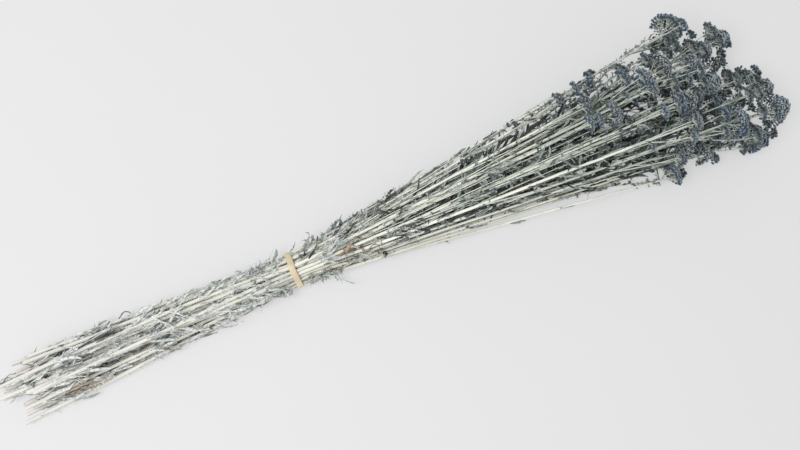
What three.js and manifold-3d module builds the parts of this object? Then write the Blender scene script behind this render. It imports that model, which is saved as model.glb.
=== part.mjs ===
// A bunch of dried yarrow: cut flowering stems held by one flat rubber band, lying on its side.
// Millimetres, +Z up. X runs along the stems from their cut feet to the flower heads, Y runs across.
// Every stem is a pale leafy stalk and, above its first branch, a blue-grey flowering top.
// The rubber band pinches the stalks, which fan out to both sides of it.
import * as THREE from "three";
import { mergeVertices } from "three/addons/utils/BufferGeometryUtils.js";
import Module from "manifold-3d";

const wasm = await Module();
wasm.setup();

// Driving dimensions
const bandAlong = 261; // from the cut feet to the middle of the rubber band
const bandWidth = 5;
const bandThickness = 1.2;
const bandGap = 0.3; // between the rubber band and the outermost stalks
const footRadius = 2; // of a middling stalk at its cut foot
const tipRadius = 0.85; // of a middling stalk under its flower head
const thinnest = 0.76; // the girth of the thinnest and the stoutest stem, as shares of a middling one's
const stoutest = 1.14;
const tipAlong = 620;
const footPress = 0.6; // how far the lowest feet are flattened where they lie on the table
const footStagger = 42; // the stalks are cut to lengths that differ by this much
const clearance = 0.4; // kept between two stems wherever they pass
const stalkSides = 5;
const topGap = 0.3; // between a stalk and its flowering top, where the colour changes
const rayRadius = 0.55;
const raySides = 3;
const floretSides = 5;
const branchRadius = 0.6;
const branchesPerTop = 3;
const leafThickness = 1;
const leafSunk = 1; // depth of a leaf's root inside its stalk
const leavesPerStalk = 3;

// The flower heads as they lie: along, across and above the table, and how wide each head is.
const heads = [
  { along: 636, across: 62, height: 40, width: 29, turn: 30 },
  { along: 678, across: 33, height: 35, width: 21, turn: 0 },
  { along: 651, across: 28, height: 45, width: 20, turn: 10 },
  { along: 665, across: 18, height: 26, width: 18, turn: 0 },
  { along: 671, across: -1, height: 25, width: 13, turn: 10 },
  { along: 695, across: -1, height: 9, width: 18, turn: 18 },
  { along: 691, across: -20, height: 32, width: 22, turn: 5 },
  { along: 694, across: -38, height: 31, width: 31, turn: -5 },
  { along: 677, across: -57, height: 15, width: 28, turn: -16 },
  { along: 648, across: -37, height: 45, width: 31, turn: -6 },
  { along: 653, across: -46, height: 16, width: 20, turn: -14 },
  { along: 605, across: -28, height: 61, width: 20, turn: -10 },
  { along: 623, across: -50, height: 18, width: 22, turn: -22 },
  { along: 590, across: -52, height: 14, width: 26, turn: 12 },
  { along: 629, across: 22, height: 60, width: 18, turn: 4 },
  { along: 607, across: -10, height: 66, width: 20, turn: 0 },
  { along: 604, across: 28, height: 58, width: 27, turn: 14 },
  { along: 583, across: 7, height: 68, width: 17, turn: -6 },
  { along: 548, across: 4, height: 64, width: 20, turn: -12 },
  { along: 566, across: -11, height: 58, width: 15, turn: 6 },
  { along: 548, across: 41, height: 45, width: 16, turn: 26 },
  { along: 532, across: 23, height: 58, width: 14, turn: 10 },
  { along: 677, across: -18, height: 13, width: 15, turn: 8 },
  { along: 643, across: 2, height: 46, width: 22, turn: 4 },
  { along: 624, across: 17, height: 34, width: 22, turn: 12 },
  { along: 587, across: -25, height: 31, width: 20, turn: -8 },
  { along: 584, across: 24, height: 32, width: 20, turn: 10 },
  { along: 606, across: -40, height: 31, width: 20, turn: -8 },
  { along: 654, across: -14, height: 20, width: 22, turn: 0 },
];

// Stations along the bunch where the stems' places are settled. Between two of them a stem is straight.
const stations = [0, 90, 180, 247, 275, 345, 420, 495, 575, 660];
const bandStations = [3, 4];
const headsAlong = 640; // where most of the flower heads are

// Half width, half height and middle height of the bunch at the feet, the band and the heads.
const shape = {
  foot: { across: 29, up: 20, middle: 11.5 },
  band: { across: 17, up: 9.5, middle: 13 },
  heads: { across: 62, up: 33, middle: 40 },
};

const bandPull = [0.015, 0.03]; // how hard the rubber band draws the stems to its middle, across and up

const deg = Math.PI / 180;
const flatSide = Math.cos(Math.PI / stalkSides); // of a stalk: how far off its flat side is, per radius
const goldenShare = 0.618; // of a turn or a stretch, from one of a row of shoots to the next

// A small seeded generator, so that every run grows the same bunch.
function makeRandom(seed) {
  let state = Math.imul(seed, 2654435761) >>> 0;
  return () => {
    state = (Math.imul(state, 1664525) + 1013904223) >>> 0;
    return state / 4294967296;
  };
}

const between = (low, high, t) => low + (high - low) * t;

function stalkRadius(stem, along) {
  return stem.girth * between(footRadius, tipRadius, Math.min(1, along / tipAlong));
}

// Vectors are plain arrays of three numbers here.
const add = (a, b, scale = 1) => a.map((v, i) => v + b[i] * scale);
const minus = (a, b) => a.map((v, i) => v - b[i]);
const dot = (a, b) => a[0] * b[0] + a[1] * b[1] + a[2] * b[2];
const cross = (a, b) => [
  a[1] * b[2] - a[2] * b[1],
  a[2] * b[0] - a[0] * b[2],
  a[0] * b[1] - a[1] * b[0],
];
const unit = (a) => add([0, 0, 0], a, 1 / Math.sqrt(dot(a, a)));

// Two directions square to an axis, the first as level as can be.
function sideways(axis) {
  const level = unit(cross([0, 0, 1], axis));
  return [level, cross(axis, level)];
}

// The settled places of the stems

function planStem(head, index) {
  const random = makeRandom(1000 + index * 77);
  const yaw = head.turn * deg;
  const pitch = between(-10, 14, random()) * deg;
  const axis = [Math.cos(yaw) * Math.cos(pitch), Math.sin(yaw) * Math.cos(pitch), Math.sin(pitch)];
  const rayLength = head.width * 0.72;
  const base = add([head.along, head.across, head.height], axis, -rayLength * 0.6);
  const inFan = [head.across / shape.heads.across, (head.height - shape.heads.middle) / shape.heads.up];
  const foot = random() * footStagger;
  const branchAt = base[0] - between(42, 78, random());
  const wander = [between(-1, 1, random()), between(-1, 1, random())];
  const girth = between(thinnest, stoutest, random());
  const path = stations.map((along) => {
    const band = [inFan[0] * shape.band.across, shape.band.middle + inFan[1] * shape.band.up];
    if (along < bandAlong) {
      const t = (bandAlong - along) / bandAlong;
      const end = [
        (inFan[0] * 0.8 + wander[0] * 0.35) * shape.foot.across,
        shape.foot.middle + (inFan[1] * 0.8 + wander[1] * 0.3) * shape.foot.up,
      ];
      return [between(band[0], end[0], t), between(band[1], end[1], t)];
    }
    const t = (along - bandAlong) / (base[0] - bandAlong);
    const eased = Math.pow(t, 1.12);
    return [between(band[0], base[1], eased), between(band[1], base[2], eased)];
  });
  const wish = path.map((p) => [...p]);
  return { ...head, index, girth, axis, rayLength, base, foot, branchAt, path, wish };
}

function stationBefore(along) {
  let k = 0;
  while (k < stations.length - 2 && along > stations[k + 1]) k++;
  return k;
}

// Where a stem's centre crosses the plane at this distance along the bunch.
function centreAt(stem, along) {
  const k = stationBefore(along);
  const t = (along - stations[k]) / (stations[k + 1] - stations[k]);
  const [a, b] = [stem.path[k], stem.path[k + 1]];
  return [along, between(a[0], b[0], t), between(a[1], b[1], t)];
}

const reaches = (stem, k) => stations[k] < stem.base[0];

// The stems push each other apart, hold to their wished places and keep above the table.
function settle(stems) {
  const rounds = 900;
  for (let round = 0; round < rounds; round++) {
    const push = stems.map((stem) => stem.path.map(() => [0, 0]));
    for (let i = 0; i < stems.length; i++) {
      for (let j = i + 1; j < stems.length; j++) pushPair(stems, push, i, j);
    }
    pushFromHeads(stems, push);
    const held = Math.max(0, 1 - round / (rounds * 0.8));
    stems.forEach((stem, i) => moveStem(stem, push[i], held));
  }
}

function pushPair(stems, push, i, j) {
  const [one, other] = [stems[i].path, stems[j].path];
  for (let k = 0; k < stations.length - 1; k++) {
    if (!reaches(stems[i], k) || !reaches(stems[j], k)) continue;
    const room = stalkRadius(stems[i], stations[k]) + stalkRadius(stems[j], stations[k]) + clearance;
    const [y0, z0] = [one[k][0] - other[k][0], one[k][1] - other[k][1]];
    const [y1, z1] = [one[k + 1][0] - other[k + 1][0], one[k + 1][1] - other[k + 1][1]];
    const [dy, dz] = [y1 - y0, z1 - z0];
    const length = dy * dy + dz * dz;
    const t = length > 1e-9 ? Math.min(1, Math.max(0, -(y0 * dy + z0 * dz) / length)) : 0;
    const [y, z] = [y0 + t * dy, z0 + t * dz];
    const apart = Math.sqrt(y * y + z * z);
    if (apart >= room || apart < 1e-6) continue;
    const step = (0.5 * (room - apart)) / apart;
    [[k, 1 - t], [k + 1, t]].forEach(([at, share]) => {
      push[i][at][0] += y * step * share;
      push[i][at][1] += z * step * share;
      push[j][at][0] -= y * step * share;
      push[j][at][1] -= z * step * share;
    });
  }
}

const stemHeadRoom = 0.36; // of a head's width, kept clear of other stems round the middle of the head
const headRoom = 0.38; // of two heads' widths, kept between the middles of the heads

const headMiddle = (stem) => add(stem.base, stem.axis, stem.rayLength * 0.6);

function pushAt(push, along, y, z) {
  const k = stationBefore(along);
  for (const at of [k, k + 1]) {
    push[at][0] += y;
    push[at][1] += z;
  }
}

function pushFromHeads(stems, push) {
  stems.forEach((owner, i) => {
    const middle = headMiddle(owner);
    stems.forEach((stem, j) => {
      if (i === j) return;
      const passes = stem.base[0] > middle[0];
      const at = passes ? centreAt(stem, middle[0]) : headMiddle(stem);
      const room = passes ? owner.width * stemHeadRoom : (owner.width + stem.width) * headRoom;
      const off = minus(at, middle);
      const apart = Math.sqrt(dot(off, off));
      if (apart >= room || apart < 1e-6) return;
      const step = (0.3 * (room - apart)) / apart;
      pushAt(push[j], at[0], off[1] * step, off[2] * step);
      if (!passes) pushAt(push[i], middle[0], -off[1] * step, -off[2] * step);
    });
  });
}

function moveStem(stem, push, held) {
  const straight = stem.path.map((p, k) => {
    if (k === 0 || k === stations.length - 1) return [...p];
    const [before, after] = [stem.path[k - 1], stem.path[k + 1]];
    const t = (stations[k] - stations[k - 1]) / (stations[k + 1] - stations[k - 1]);
    return [between(before[0], after[0], t), between(before[1], after[1], t)];
  });
  stem.path.forEach((p, k) => {
    const atBand = bandStations.includes(k);
    const middle = [0, shape.band.middle];
    for (const c of [0, 1]) {
      p[c] += push[k][c] * 0.9 + 0.03 * held * (stem.wish[k][c] - p[c]);
      p[c] += held * (atBand ? bandPull[c] * (middle[c] - p[c]) : 0.12 * (straight[k][c] - p[c]));
    }
    p[1] = Math.max(p[1], stalkRadius(stem, stations[k]) * flatSide - footPress);
  });
  const end = centreAt(stem, stem.base[0]);
  stem.base = [stem.base[0], end[1], end[2]];
}

// What has grown so far, as round strands. Two strands of different nodes never come closer than the
// clearance, because a ray, a side branch or a leaf that has no room is turned aside or left out.
const strands = [];

// The distance between two straight segments.
function segmentGap(a0, a1, b0, b1) {
  const [u, v, w] = [minus(a1, a0), minus(b1, b0), minus(a0, b0)];
  const [uu, vv, uv, uw, vw] = [dot(u, u), dot(v, v), dot(u, v), dot(u, w), dot(v, w)];
  const clamp = (x) => Math.min(1, Math.max(0, x));
  const flat = uu * vv - uv * uv;
  let s = flat > 1e-9 * uu * vv ? clamp((uv * vw - vv * uw) / flat) : 0;
  const t = vv > 0 ? clamp((uv * s + vw) / vv) : 0;
  s = uu > 0 ? clamp((uv * t - uw) / uu) : 0;
  const off = add(add(w, u, s), v, -t);
  return Math.sqrt(dot(off, off));
}

function isClear(pieces, node, gap) {
  return pieces.every((piece) => {
    const low = Math.min(piece.from[0], piece.to[0]) - piece.radius - gap;
    const high = Math.max(piece.from[0], piece.to[0]) + piece.radius + gap;
    return strands.every((strand) => {
      if (strand.node === node || strand.high < low || strand.low > high) return true;
      const apart = segmentGap(piece.from, piece.to, strand.from, strand.to);
      return apart > piece.radius + strand.radius + gap;
    });
  });
}

function register(pieces, node) {
  for (const { from, to, radius } of pieces) {
    const low = Math.min(from[0], to[0]) - radius;
    const high = Math.max(from[0], to[0]) + radius;
    strands.push({ from, to, radius, node, low, high });
  }
}

// A stem's centre line between two distances along the bunch, as points at both ends and each station.
function stemLine(stem, start, end) {
  const inner = stations.filter((along) => along > start + 3 && along < end - 3);
  return [start, ...inner, end].map((along) => centreAt(stem, along));
}

const asStrands = (points, radiusAt) =>
  points.slice(1).map((to, k) => ({ from: points[k], to, radius: radiusAt(points[k][0]) }));

const umbelSpread = 0.8; // how much of a floret stands inside the umbel's rim
const tableRoom = 0.5; // of a floret's radius, its least height above the table
const turnTries = [0, 12, -12, 24, -24];
const pullTries = [1, 0.82];

// A flat-topped umbel: one floret on the axis and the others in a ring round it, each just clear of
// the next, on rays that leave the axis one above the other.
function planUmbel(base, axis, width, rayLength, outer, random) {
  const [side, over] = sideways(axis);
  const turn = random() * 2 * Math.PI;
  const droop = between(0.25, 0.6, random());
  const half = Math.sin(Math.PI / outer);
  const floret = ((width / 2) * half) / (1.02 + umbelSpread * half);
  const place = ({ angle, reach, rootAt }, turnBy, pull) => {
    const radius = (width / 2 - floret * umbelSpread) * pull;
    const height = rayLength * reach * (1 - droop) * pull;
    const root = add(base, axis, rootAt);
    const raised = add(base, axis, height);
    const [c, d] = [Math.cos(angle + turnBy), Math.sin(angle + turnBy)];
    const tip = add(add(raised, side, radius * c), over, radius * d);
    return { root, tip: [tip[0], tip[1], Math.max(tip[2], floret * tableRoom)], floret };
  };
  const rays = Array.from({ length: outer }, (_, k) => {
    const angle = turn + ((k + between(-0.12, 0.12, random())) / outer) * 2 * Math.PI;
    const reach = between(0.93, 1.07, random());
    return { angle, reach, rootAt: rayLength * between(-0.08, 0.2, (k * goldenShare) % 1) };
  });
  const middle = { tip: add(base, axis, rayLength * 0.9), floret };
  return { rays, place, middle };
}

function floretStrand(from, tip, floret) {
  const along = unit(minus(tip, from));
  return { from: add(tip, along, -floret * 0.15), to: add(tip, along, floret * 0.12), radius: floret };
}

function rayStrands({ root, tip, floret }) {
  const along = unit(minus(tip, root));
  const neck = add(tip, along, -floret * 0.6);
  return [{ from: add(root, along, 1.2), to: neck, radius: rayRadius }, floretStrand(root, tip, floret)];
}

// The rays that find room, each turned a little or drawn in where it must be.
function growRays({ rays, place }, node) {
  const grown = [];
  for (const ray of rays) {
    const tries = pullTries.flatMap((pull) => turnTries.map((turn) => place(ray, turn * deg, pull)));
    const free = tries.find((one) => isClear(rayStrands(one), node, clearance / 2));
    if (!free) continue;
    register(rayStrands(free), node);
    grown.push(free);
  }
  return grown;
}

const outerFlorets = (width) => 5 + (width >= 21) + (width >= 26);

// How far the bunch reaches to either side of its middle, past the rubber band.
const fanHalf = (along) =>
  between(shape.band.across, shape.heads.across, (along - bandAlong) / (headsAlong - bandAlong)) * 0.9;

// A side branch leaves the flowering top at an angle, bends forward and carries one small closed umbel.
function planBranch(stem, random, attempt, low) {
  const at = low + between(4, 16, random());
  const root = centreAt(stem, at);
  const forward = unit(minus(centreAt(stem, at + 10), centreAt(stem, at - 10)));
  const [side, over] = sideways(forward);
  const angle = (attempt * goldenShare + random() * 0.3) * 2 * Math.PI;
  const lean = between(20, 34, random()) * deg;
  const length = between(26, 48, random()) * (attempt < 8 ? 1 : 0.7);
  const away = add(add([0, 0, 0], side, Math.cos(angle)), over, Math.sin(angle));
  const stretch = (from, bend) =>
    add(add(from, forward, (length / 2) * Math.cos(bend)), away, (length / 2) * Math.sin(bend));
  const knee = stretch(root, lean);
  const base = stretch(knee, lean * 0.35);
  const axis = unit(minus(base, knee));
  const floret = between(5.6, 8, random());
  return { root, knee, base, tip: add(base, axis, floret * 1.2), floret };
}

function growBranch(stem, node, number) {
  const random = makeRandom(5000 + stem.index * 91 + number * 17);
  const low = stem.branchAt + number * 11;
  for (let attempt = 0; attempt < 18; attempt++) {
    const { root, knee, base, tip, floret } = planBranch(stem, random, attempt, low);
    const line = [add(root, unit(minus(knee, root)), 2), knee, tip];
    const pieces = [...asStrands(line, () => branchRadius), floretStrand(base, tip, floret)];
    const onTable = pieces.some((piece) => piece.to[2] < piece.radius * tableRoom);
    const aside = pieces.some((piece) => Math.abs(piece.to[1]) > fanHalf(piece.to[0]));
    const astray = aside || tip[0] > headMiddle(stem)[0];
    if (onTable || astray || !isClear(pieces, node, clearance / 2)) continue;
    register(pieces, node);
    return [{ points: [root, knee, base], tip, floret }];
  }
  return [];
}

// Leaves: narrow, cut into teeth, pointing up along the stalk and arching away from it.
const leafTries = 20;

function planLeaf(stem, random, attempt) {
  const start = stem.foot + 22;
  const end = stem.branchAt - 26;
  const at = between(start, end, (stem.index * 0.37 + attempt * goldenShare + random() * 0.08) % 1);
  const centre = centreAt(stem, at);
  const forward = unit(minus(centreAt(stem, at + 10), centreAt(stem, at - 10)));
  const [side, over] = sideways(forward);
  const middle = bunchMiddle(at);
  const outward = Math.atan2(dot(minus(centre, middle), over), dot(minus(centre, middle), side));
  const angle = outward + between(-75, 75, random()) * deg;
  const lean = between(14, 36, random()) * deg;
  const length = between(15, 25, random());
  const width = between(4.8, 6.6, random());
  const away = add(add([0, 0, 0], side, Math.cos(angle)), over, Math.sin(angle));
  const root = add(centre, away, stalkRadius(stem, at) - leafSunk);
  const flat = cross(forward, away);
  const point = (share, off, lift) => {
    const bend = lean * (1.35 - 0.75 * share);
    const reach = length * share;
    const rib = add(add(root, forward, reach * Math.cos(bend)), away, reach * Math.sin(bend) + lift);
    return add(rib, flat, (off * width) / 2);
  };
  return { at, point };
}

// The outline of a leaf from root to tip, as shares of its length and of its half width.
const leafTeeth = [
  [0.26, 0.8],
  [0.4, 0.5],
  [0.6, 1],
  [0.76, 0.4],
];
const leafRib = 0.5;

function leafStrands({ point }) {
  const rib = [point(0.1, 0, 0), point(leafRib, 0, 0), point(1, 0, 0)];
  const corners = [leafTeeth[0], leafTeeth[2], [1, 0]];
  const edge = (sign) => corners.map(([share, off]) => point(share, off * sign, 0));
  return [rib, edge(1), edge(-1)].flatMap((line) => asStrands(line, () => 0.6));
}

function growLeaves(stem, node) {
  const random = makeRandom(9000 + stem.index * 53);
  const grown = [];
  for (let attempt = 0; attempt < leafTries && grown.length < leavesPerStalk; attempt++) {
    const leaf = planLeaf(stem, random, attempt);
    const pieces = leafStrands(leaf);
    const nearBand = Math.abs(leaf.at + 12 - bandAlong) < 20;
    const onTable = pieces.some((piece) => piece.to[2] < 0.9);
    if (nearBand || onTable || !isClear(pieces, node, clearance)) continue;
    register(pieces, node);
    grown.push(leaf);
  }
  return grown;
}

function bunchMiddle(along) {
  const t = along < bandAlong ? (bandAlong - along) / bandAlong : (along - bandAlong) / (600 - bandAlong);
  const end = along < bandAlong ? shape.foot : shape.heads;
  return [along, 0, between(shape.band.middle, end.middle, Math.min(1, t))];
}

// Solids

function solidFrom(points, triangles) {
  return new wasm.Manifold(
    new wasm.Mesh({
      numProp: 3,
      vertProperties: new Float32Array(points.flat()),
      triVerts: new Uint32Array(triangles.flat()),
    }),
  );
}

// A closed body through rings of points, each turning the same way. A ring may have another number of
// points than the one before it, and one point alone makes a pointed end.
function loft(rings) {
  const triangles = [];
  let first = 0;
  rings.slice(1).forEach((next, r) => {
    const [m, n] = [rings[r].length, next.length];
    const after = first + m;
    let [i, j] = [0, 0];
    while (i < (m > 1 ? m : 0) || j < (n > 1 ? n : 0)) {
      const [a, c] = [first + (i % m), after + (j % n)];
      const moveFirst = n === 1 || (m > 1 && (i + 0.5) / m <= (j + 0.5) / n);
      triangles.push(moveFirst ? [a, first + ((i + 1) % m), c] : [a, after + ((j + 1) % n), c]);
      if (moveFirst) i++;
      else j++;
    }
    first = after;
  });
  const last = rings.at(-1).length;
  for (let k = 1; k < rings[0].length - 1; k++) triangles.push([0, k + 1, k]);
  for (let k = 1; k < last - 1; k++) triangles.push([first, first + k, first + k + 1]);
  return solidFrom(rings.flat(), triangles);
}

function ring(middle, side, over, radius, sides, turn = 0) {
  return Array.from({ length: sides }, (_, k) => {
    const angle = turn + (k / sides) * 2 * Math.PI;
    return add(add(middle, side, radius * Math.cos(angle)), over, radius * Math.sin(angle));
  });
}

// A stalk's rings stand square to the bunch, each with a flat side below.
const stalkTurn = Math.PI / stalkSides - Math.PI / 2;
const stalkRing = (stem, p) =>
  ring(p, [0, 1, 0], [0, 0, 1], stalkRadius(stem, p[0]), stalkSides, stalkTurn);

// The upper end of a ray: its neck and the rim of its flat-topped floret.
function floretRings(from, tip, floret) {
  const along = unit(minus(tip, from));
  const [side, over] = sideways(along);
  return [
    ring(add(tip, along, -floret * 0.75), side, over, rayRadius, raySides),
    ring(add(tip, along, floret * 0.1), side, over, floret * 0.98, floretSides),
  ];
}

function raySolid({ root, tip, floret }) {
  const [side, over] = sideways(unit(minus(tip, root)));
  return loft([ring(root, side, over, rayRadius * 0.85, raySides), ...floretRings(root, tip, floret)]);
}

function branchSolid({ points, tip, floret }) {
  const [side, over] = sideways(unit(minus(points[2], points[0])));
  const rings = points.map((p, k) => ring(p, side, over, branchRadius * (1 - 0.12 * k), raySides));
  return loft([...rings, ...floretRings(points[2], tip, floret)]);
}

// A leaf is a thin toothed blade, thickest along its rib and sharp round its edge.
function leafSolid({ point }) {
  const edge = (sign) => leafTeeth.map(([share, off]) => point(share, off * sign, 0));
  const rib = [1, -1].map((sign) => point(leafRib, 0, (sign * leafThickness) / 2));
  const points = [point(0, 0, 0), ...edge(1), point(1, 0, 0), ...edge(-1).reverse(), ...rib];
  const round = points.length - 2;
  const triangles = [];
  for (let k = 0; k < round; k++) {
    const next = (k + 1) % round;
    triangles.push([k, next, round], [next, k, round + 1]);
  }
  return solidFrom(points, triangles);
}

const stalkSolid = (stem) =>
  loft(stemLine(stem, stem.foot, stem.branchAt - topGap / 2).map((p) => stalkRing(stem, p)));

function topSolid(stem) {
  const axis = stemLine(stem, stem.branchAt + topGap / 2, stem.base[0]);
  const rings = axis.map((p) => stalkRing(stem, p));
  return loft([...rings, ...floretRings(stem.base, stem.middle.tip, stem.middle.floret)]);
}

const join = (solids) => solids.reduce((whole, solid) => whole.add(solid));

// Everything under the table's surface, which flattens the lowest feet and florets.
function tableSolid() {
  const box = new THREE.BoxGeometry(2000, 2000, 100).translate(0, 0, -50);
  box.deleteAttribute("normal");
  box.deleteAttribute("uv");
  const merged = mergeVertices(box);
  return new wasm.Manifold(
    new wasm.Mesh({
      numProp: 3,
      vertProperties: merged.attributes.position.array,
      triVerts: new Uint32Array(merged.index.array),
    }),
  );
}

// The rubber band: a flat loop drawn tight round the outermost stalks.
const bandSides = 24;

function bandGeometry(stems) {
  const ends = [bandAlong - bandWidth / 2, bandAlong + bandWidth / 2];
  const angles = Array.from({ length: bandSides }, (_, k) => (k / bandSides) * 2 * Math.PI);
  const reaches = angles.map((angle) => {
    const way = [0, Math.cos(angle), Math.sin(angle)];
    const reachAt = (along) =>
      stems.map((stem) => dot(centreAt(stem, along), way) + stalkRadius(stem, along));
    return Math.max(...ends.flatMap(reachAt)) + bandGap;
  });
  // Two neighbouring sides of the loop meet in a corner.
  const corner = (k, grow) => {
    const next = (k + 1) % bandSides;
    const [a, b] = [angles[k], angles[next]];
    const [ra, rb] = [reaches[k] + grow, reaches[next] + grow];
    const turn = Math.sin(b - a);
    return new THREE.Vector2(
      (ra * Math.sin(b) - rb * Math.sin(a)) / turn,
      (rb * Math.cos(a) - ra * Math.cos(b)) / turn,
    );
  };
  const loop = new THREE.Shape(angles.map((_, k) => corner(k, bandThickness)));
  loop.holes.push(new THREE.Path(angles.map((_, k) => corner(k, 0)).reverse()));
  const flat = new THREE.ExtrudeGeometry(loop, { depth: bandWidth, bevelEnabled: false });
  // The loop is drawn in X and Y and raised along Z, so its axes change places.
  const turned = new THREE.Matrix4().makeBasis(
    new THREE.Vector3(0, 1, 0),
    new THREE.Vector3(0, 0, 1),
    new THREE.Vector3(1, 0, 0),
  );
  return flat.applyMatrix4(turned).translate(ends[0], 0, 0);
}

// The bunch

const stems = heads.map(planStem);
settle(stems);
stems.forEach((stem) => {
  stem.stalkNode = `leafy_stalk_${String(stem.index + 1).padStart(2, "0")}`;
  stem.topNode = `flowering_top_${String(stem.index + 1).padStart(2, "0")}`;
  const radiusAt = (along) => stalkRadius(stem, along);
  const axis = stemLine(stem, stem.branchAt + topGap / 2, stem.base[0]);
  register(asStrands(stemLine(stem, stem.foot, stem.branchAt - topGap / 2), radiusAt), stem.stalkNode);
  register(asStrands(axis, radiusAt), stem.topNode);
});
const headRandom = makeRandom(31);
stems.forEach((stem) => {
  const { base, axis, width, rayLength } = stem;
  stem.umbel = planUmbel(base, axis, width, rayLength, outerFlorets(width), headRandom);
  stem.middle = stem.umbel.middle;
  register([floretStrand(stem.base, stem.middle.tip, stem.middle.floret)], stem.topNode);
});
stems.forEach((stem) => (stem.rays = growRays(stem.umbel, stem.topNode)));
stems.forEach((stem) => (stem.branches = []));
for (let number = 0; number < branchesPerTop; number++) {
  stems.forEach((stem) => stem.branches.push(...growBranch(stem, stem.topNode, number)));
}
stems.forEach((stem) => (stem.leaves = growLeaves(stem, stem.stalkNode)));

const materials = {
  stalk: new THREE.MeshStandardMaterial({ color: 0xcfcfbc, roughness: 0.85, metalness: 0 }),
  flower: new THREE.MeshStandardMaterial({ color: 0x6a7c86, roughness: 0.9, metalness: 0 }),
  band: new THREE.MeshStandardMaterial({ color: 0xdcc08c, roughness: 0.6, metalness: 0 }),
};

const bunch = new THREE.Group();

function addMesh(name, geometry, material) {
  const mesh = new THREE.Mesh(geometry, material);
  mesh.name = name;
  bunch.add(mesh);
}

// The largest body of a solid as a geometry; a loose scrap is dropped.
function geometryOf(solid) {
  const [largest] = solid.decompose().sort((a, b) => b.volume() - a.volume());
  const mesh = largest.getMesh();
  const geometry = new THREE.BufferGeometry();
  geometry.setAttribute("position", new THREE.BufferAttribute(mesh.vertProperties, 3));
  geometry.setIndex(new THREE.BufferAttribute(mesh.triVerts, 1));
  return geometry;
}

const table = tableSolid();
for (const stem of stems) {
  const leafy = join([stalkSolid(stem), ...stem.leaves.map(leafSolid)]).subtract(table);
  const top = join([topSolid(stem), ...stem.rays.map(raySolid), ...stem.branches.map(branchSolid)]);
  addMesh(stem.stalkNode, geometryOf(leafy), materials.stalk);
  addMesh(stem.topNode, geometryOf(top.subtract(table)), materials.flower);
}
addMesh("rubber_band", bandGeometry(stems), materials.band);

// The whole bunch stands over the origin.
const box = new THREE.Box3().setFromObject(bunch);
bunch.position.set(-(box.min.x + box.max.x) / 2, -(box.min.y + box.max.y) / 2, 0);
const group = new THREE.Group();
group.add(bunch);
export default group;
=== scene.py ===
import math
from functools import partial

import bpy
import numpy as np
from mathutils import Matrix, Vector


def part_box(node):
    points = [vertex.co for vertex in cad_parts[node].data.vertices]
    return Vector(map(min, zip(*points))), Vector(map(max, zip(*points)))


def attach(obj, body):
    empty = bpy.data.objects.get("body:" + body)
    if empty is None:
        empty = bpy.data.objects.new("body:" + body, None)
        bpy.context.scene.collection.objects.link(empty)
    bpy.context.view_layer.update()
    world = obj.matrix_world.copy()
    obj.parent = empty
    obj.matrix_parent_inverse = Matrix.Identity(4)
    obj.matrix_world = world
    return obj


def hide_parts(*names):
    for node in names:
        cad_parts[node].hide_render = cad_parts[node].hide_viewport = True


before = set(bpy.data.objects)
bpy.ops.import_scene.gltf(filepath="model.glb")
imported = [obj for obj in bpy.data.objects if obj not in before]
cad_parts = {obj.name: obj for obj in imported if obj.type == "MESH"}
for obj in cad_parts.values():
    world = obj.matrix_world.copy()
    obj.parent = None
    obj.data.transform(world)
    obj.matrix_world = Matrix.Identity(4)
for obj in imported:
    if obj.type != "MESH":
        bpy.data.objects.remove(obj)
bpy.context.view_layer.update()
print("frame loaded,", len(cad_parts), "nodes")

scene = bpy.context.scene
scene.view_settings.view_transform = "Standard"


# How the bunch grows, in millimetres: along from the cut feet, across, and up from the table

growth = {
    "bandAlong": 261,
    "bandWidth": 5,
    "bandThickness": 1.2,
    "bandGap": 0.3,
    "bandSides": 24,
    "footRadius": 2,
    "tipRadius": 0.85,
    "thinnest": 0.76,
    "stoutest": 1.14,
    "tipAlong": 620,
    "footPress": 0.6,
    "footStagger": 42,
    "clearance": 0.4,
    "topGap": 0.3,
    "rayRadius": 0.55,
    "branchRadius": 0.6,
    "branchesPerTop": 3,
    "leafSunk": 1,
    "leavesPerStalk": 3,
    "leafTries": 20,
    "umbelSpread": 0.8,
    "tableRoom": 0.5,
    "stemHeadRoom": 0.36,
    "headRoom": 0.38,
    "golden": 0.618,
    "rounds": 900,
    "turnTries": (0, 12, -12, 24, -24),
    "pullTries": (1, 0.82),
    "flatSide": math.cos(math.pi / 5),
}

# Each head: along, across, height, width, turn
heads = [
    (636, 62, 40, 29, 30), (678, 33, 35, 21, 0), (651, 28, 45, 20, 10), (665, 18, 26, 18, 0),
    (671, -1, 25, 13, 10), (695, -1, 9, 18, 18), (691, -20, 32, 22, 5), (694, -38, 31, 31, -5),
    (677, -57, 15, 28, -16), (648, -37, 45, 31, -6), (653, -46, 16, 20, -14), (605, -28, 61, 20, -10),
    (623, -50, 18, 22, -22), (590, -52, 14, 26, 12), (629, 22, 60, 18, 4), (607, -10, 66, 20, 0),
    (604, 28, 58, 27, 14), (583, 7, 68, 17, -6), (548, 4, 64, 20, -12), (566, -11, 58, 15, 6),
    (548, 41, 45, 16, 26), (532, 23, 58, 14, 10), (677, -18, 13, 15, 8), (643, 2, 46, 22, 4),
    (624, 17, 34, 22, 12), (587, -25, 31, 20, -8), (584, 24, 32, 20, 10), (606, -40, 31, 20, -8),
    (654, -14, 20, 22, 0),
]

stations = np.array([0, 90, 180, 247, 275, 345, 420, 495, 575, 660], float)
bandStations = (3, 4)
headsAlong = 640
bandPull = np.array([0.015, 0.03])

# Half width, half height and middle height of the bunch
footShape, bandShape, headShape = (29, 20, 11.5), (17, 9.5, 13), (62, 33, 40)

leafTeeth = [(0.26, 0.8), (0.4, 0.5), (0.6, 1), (0.76, 0.4)]


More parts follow.
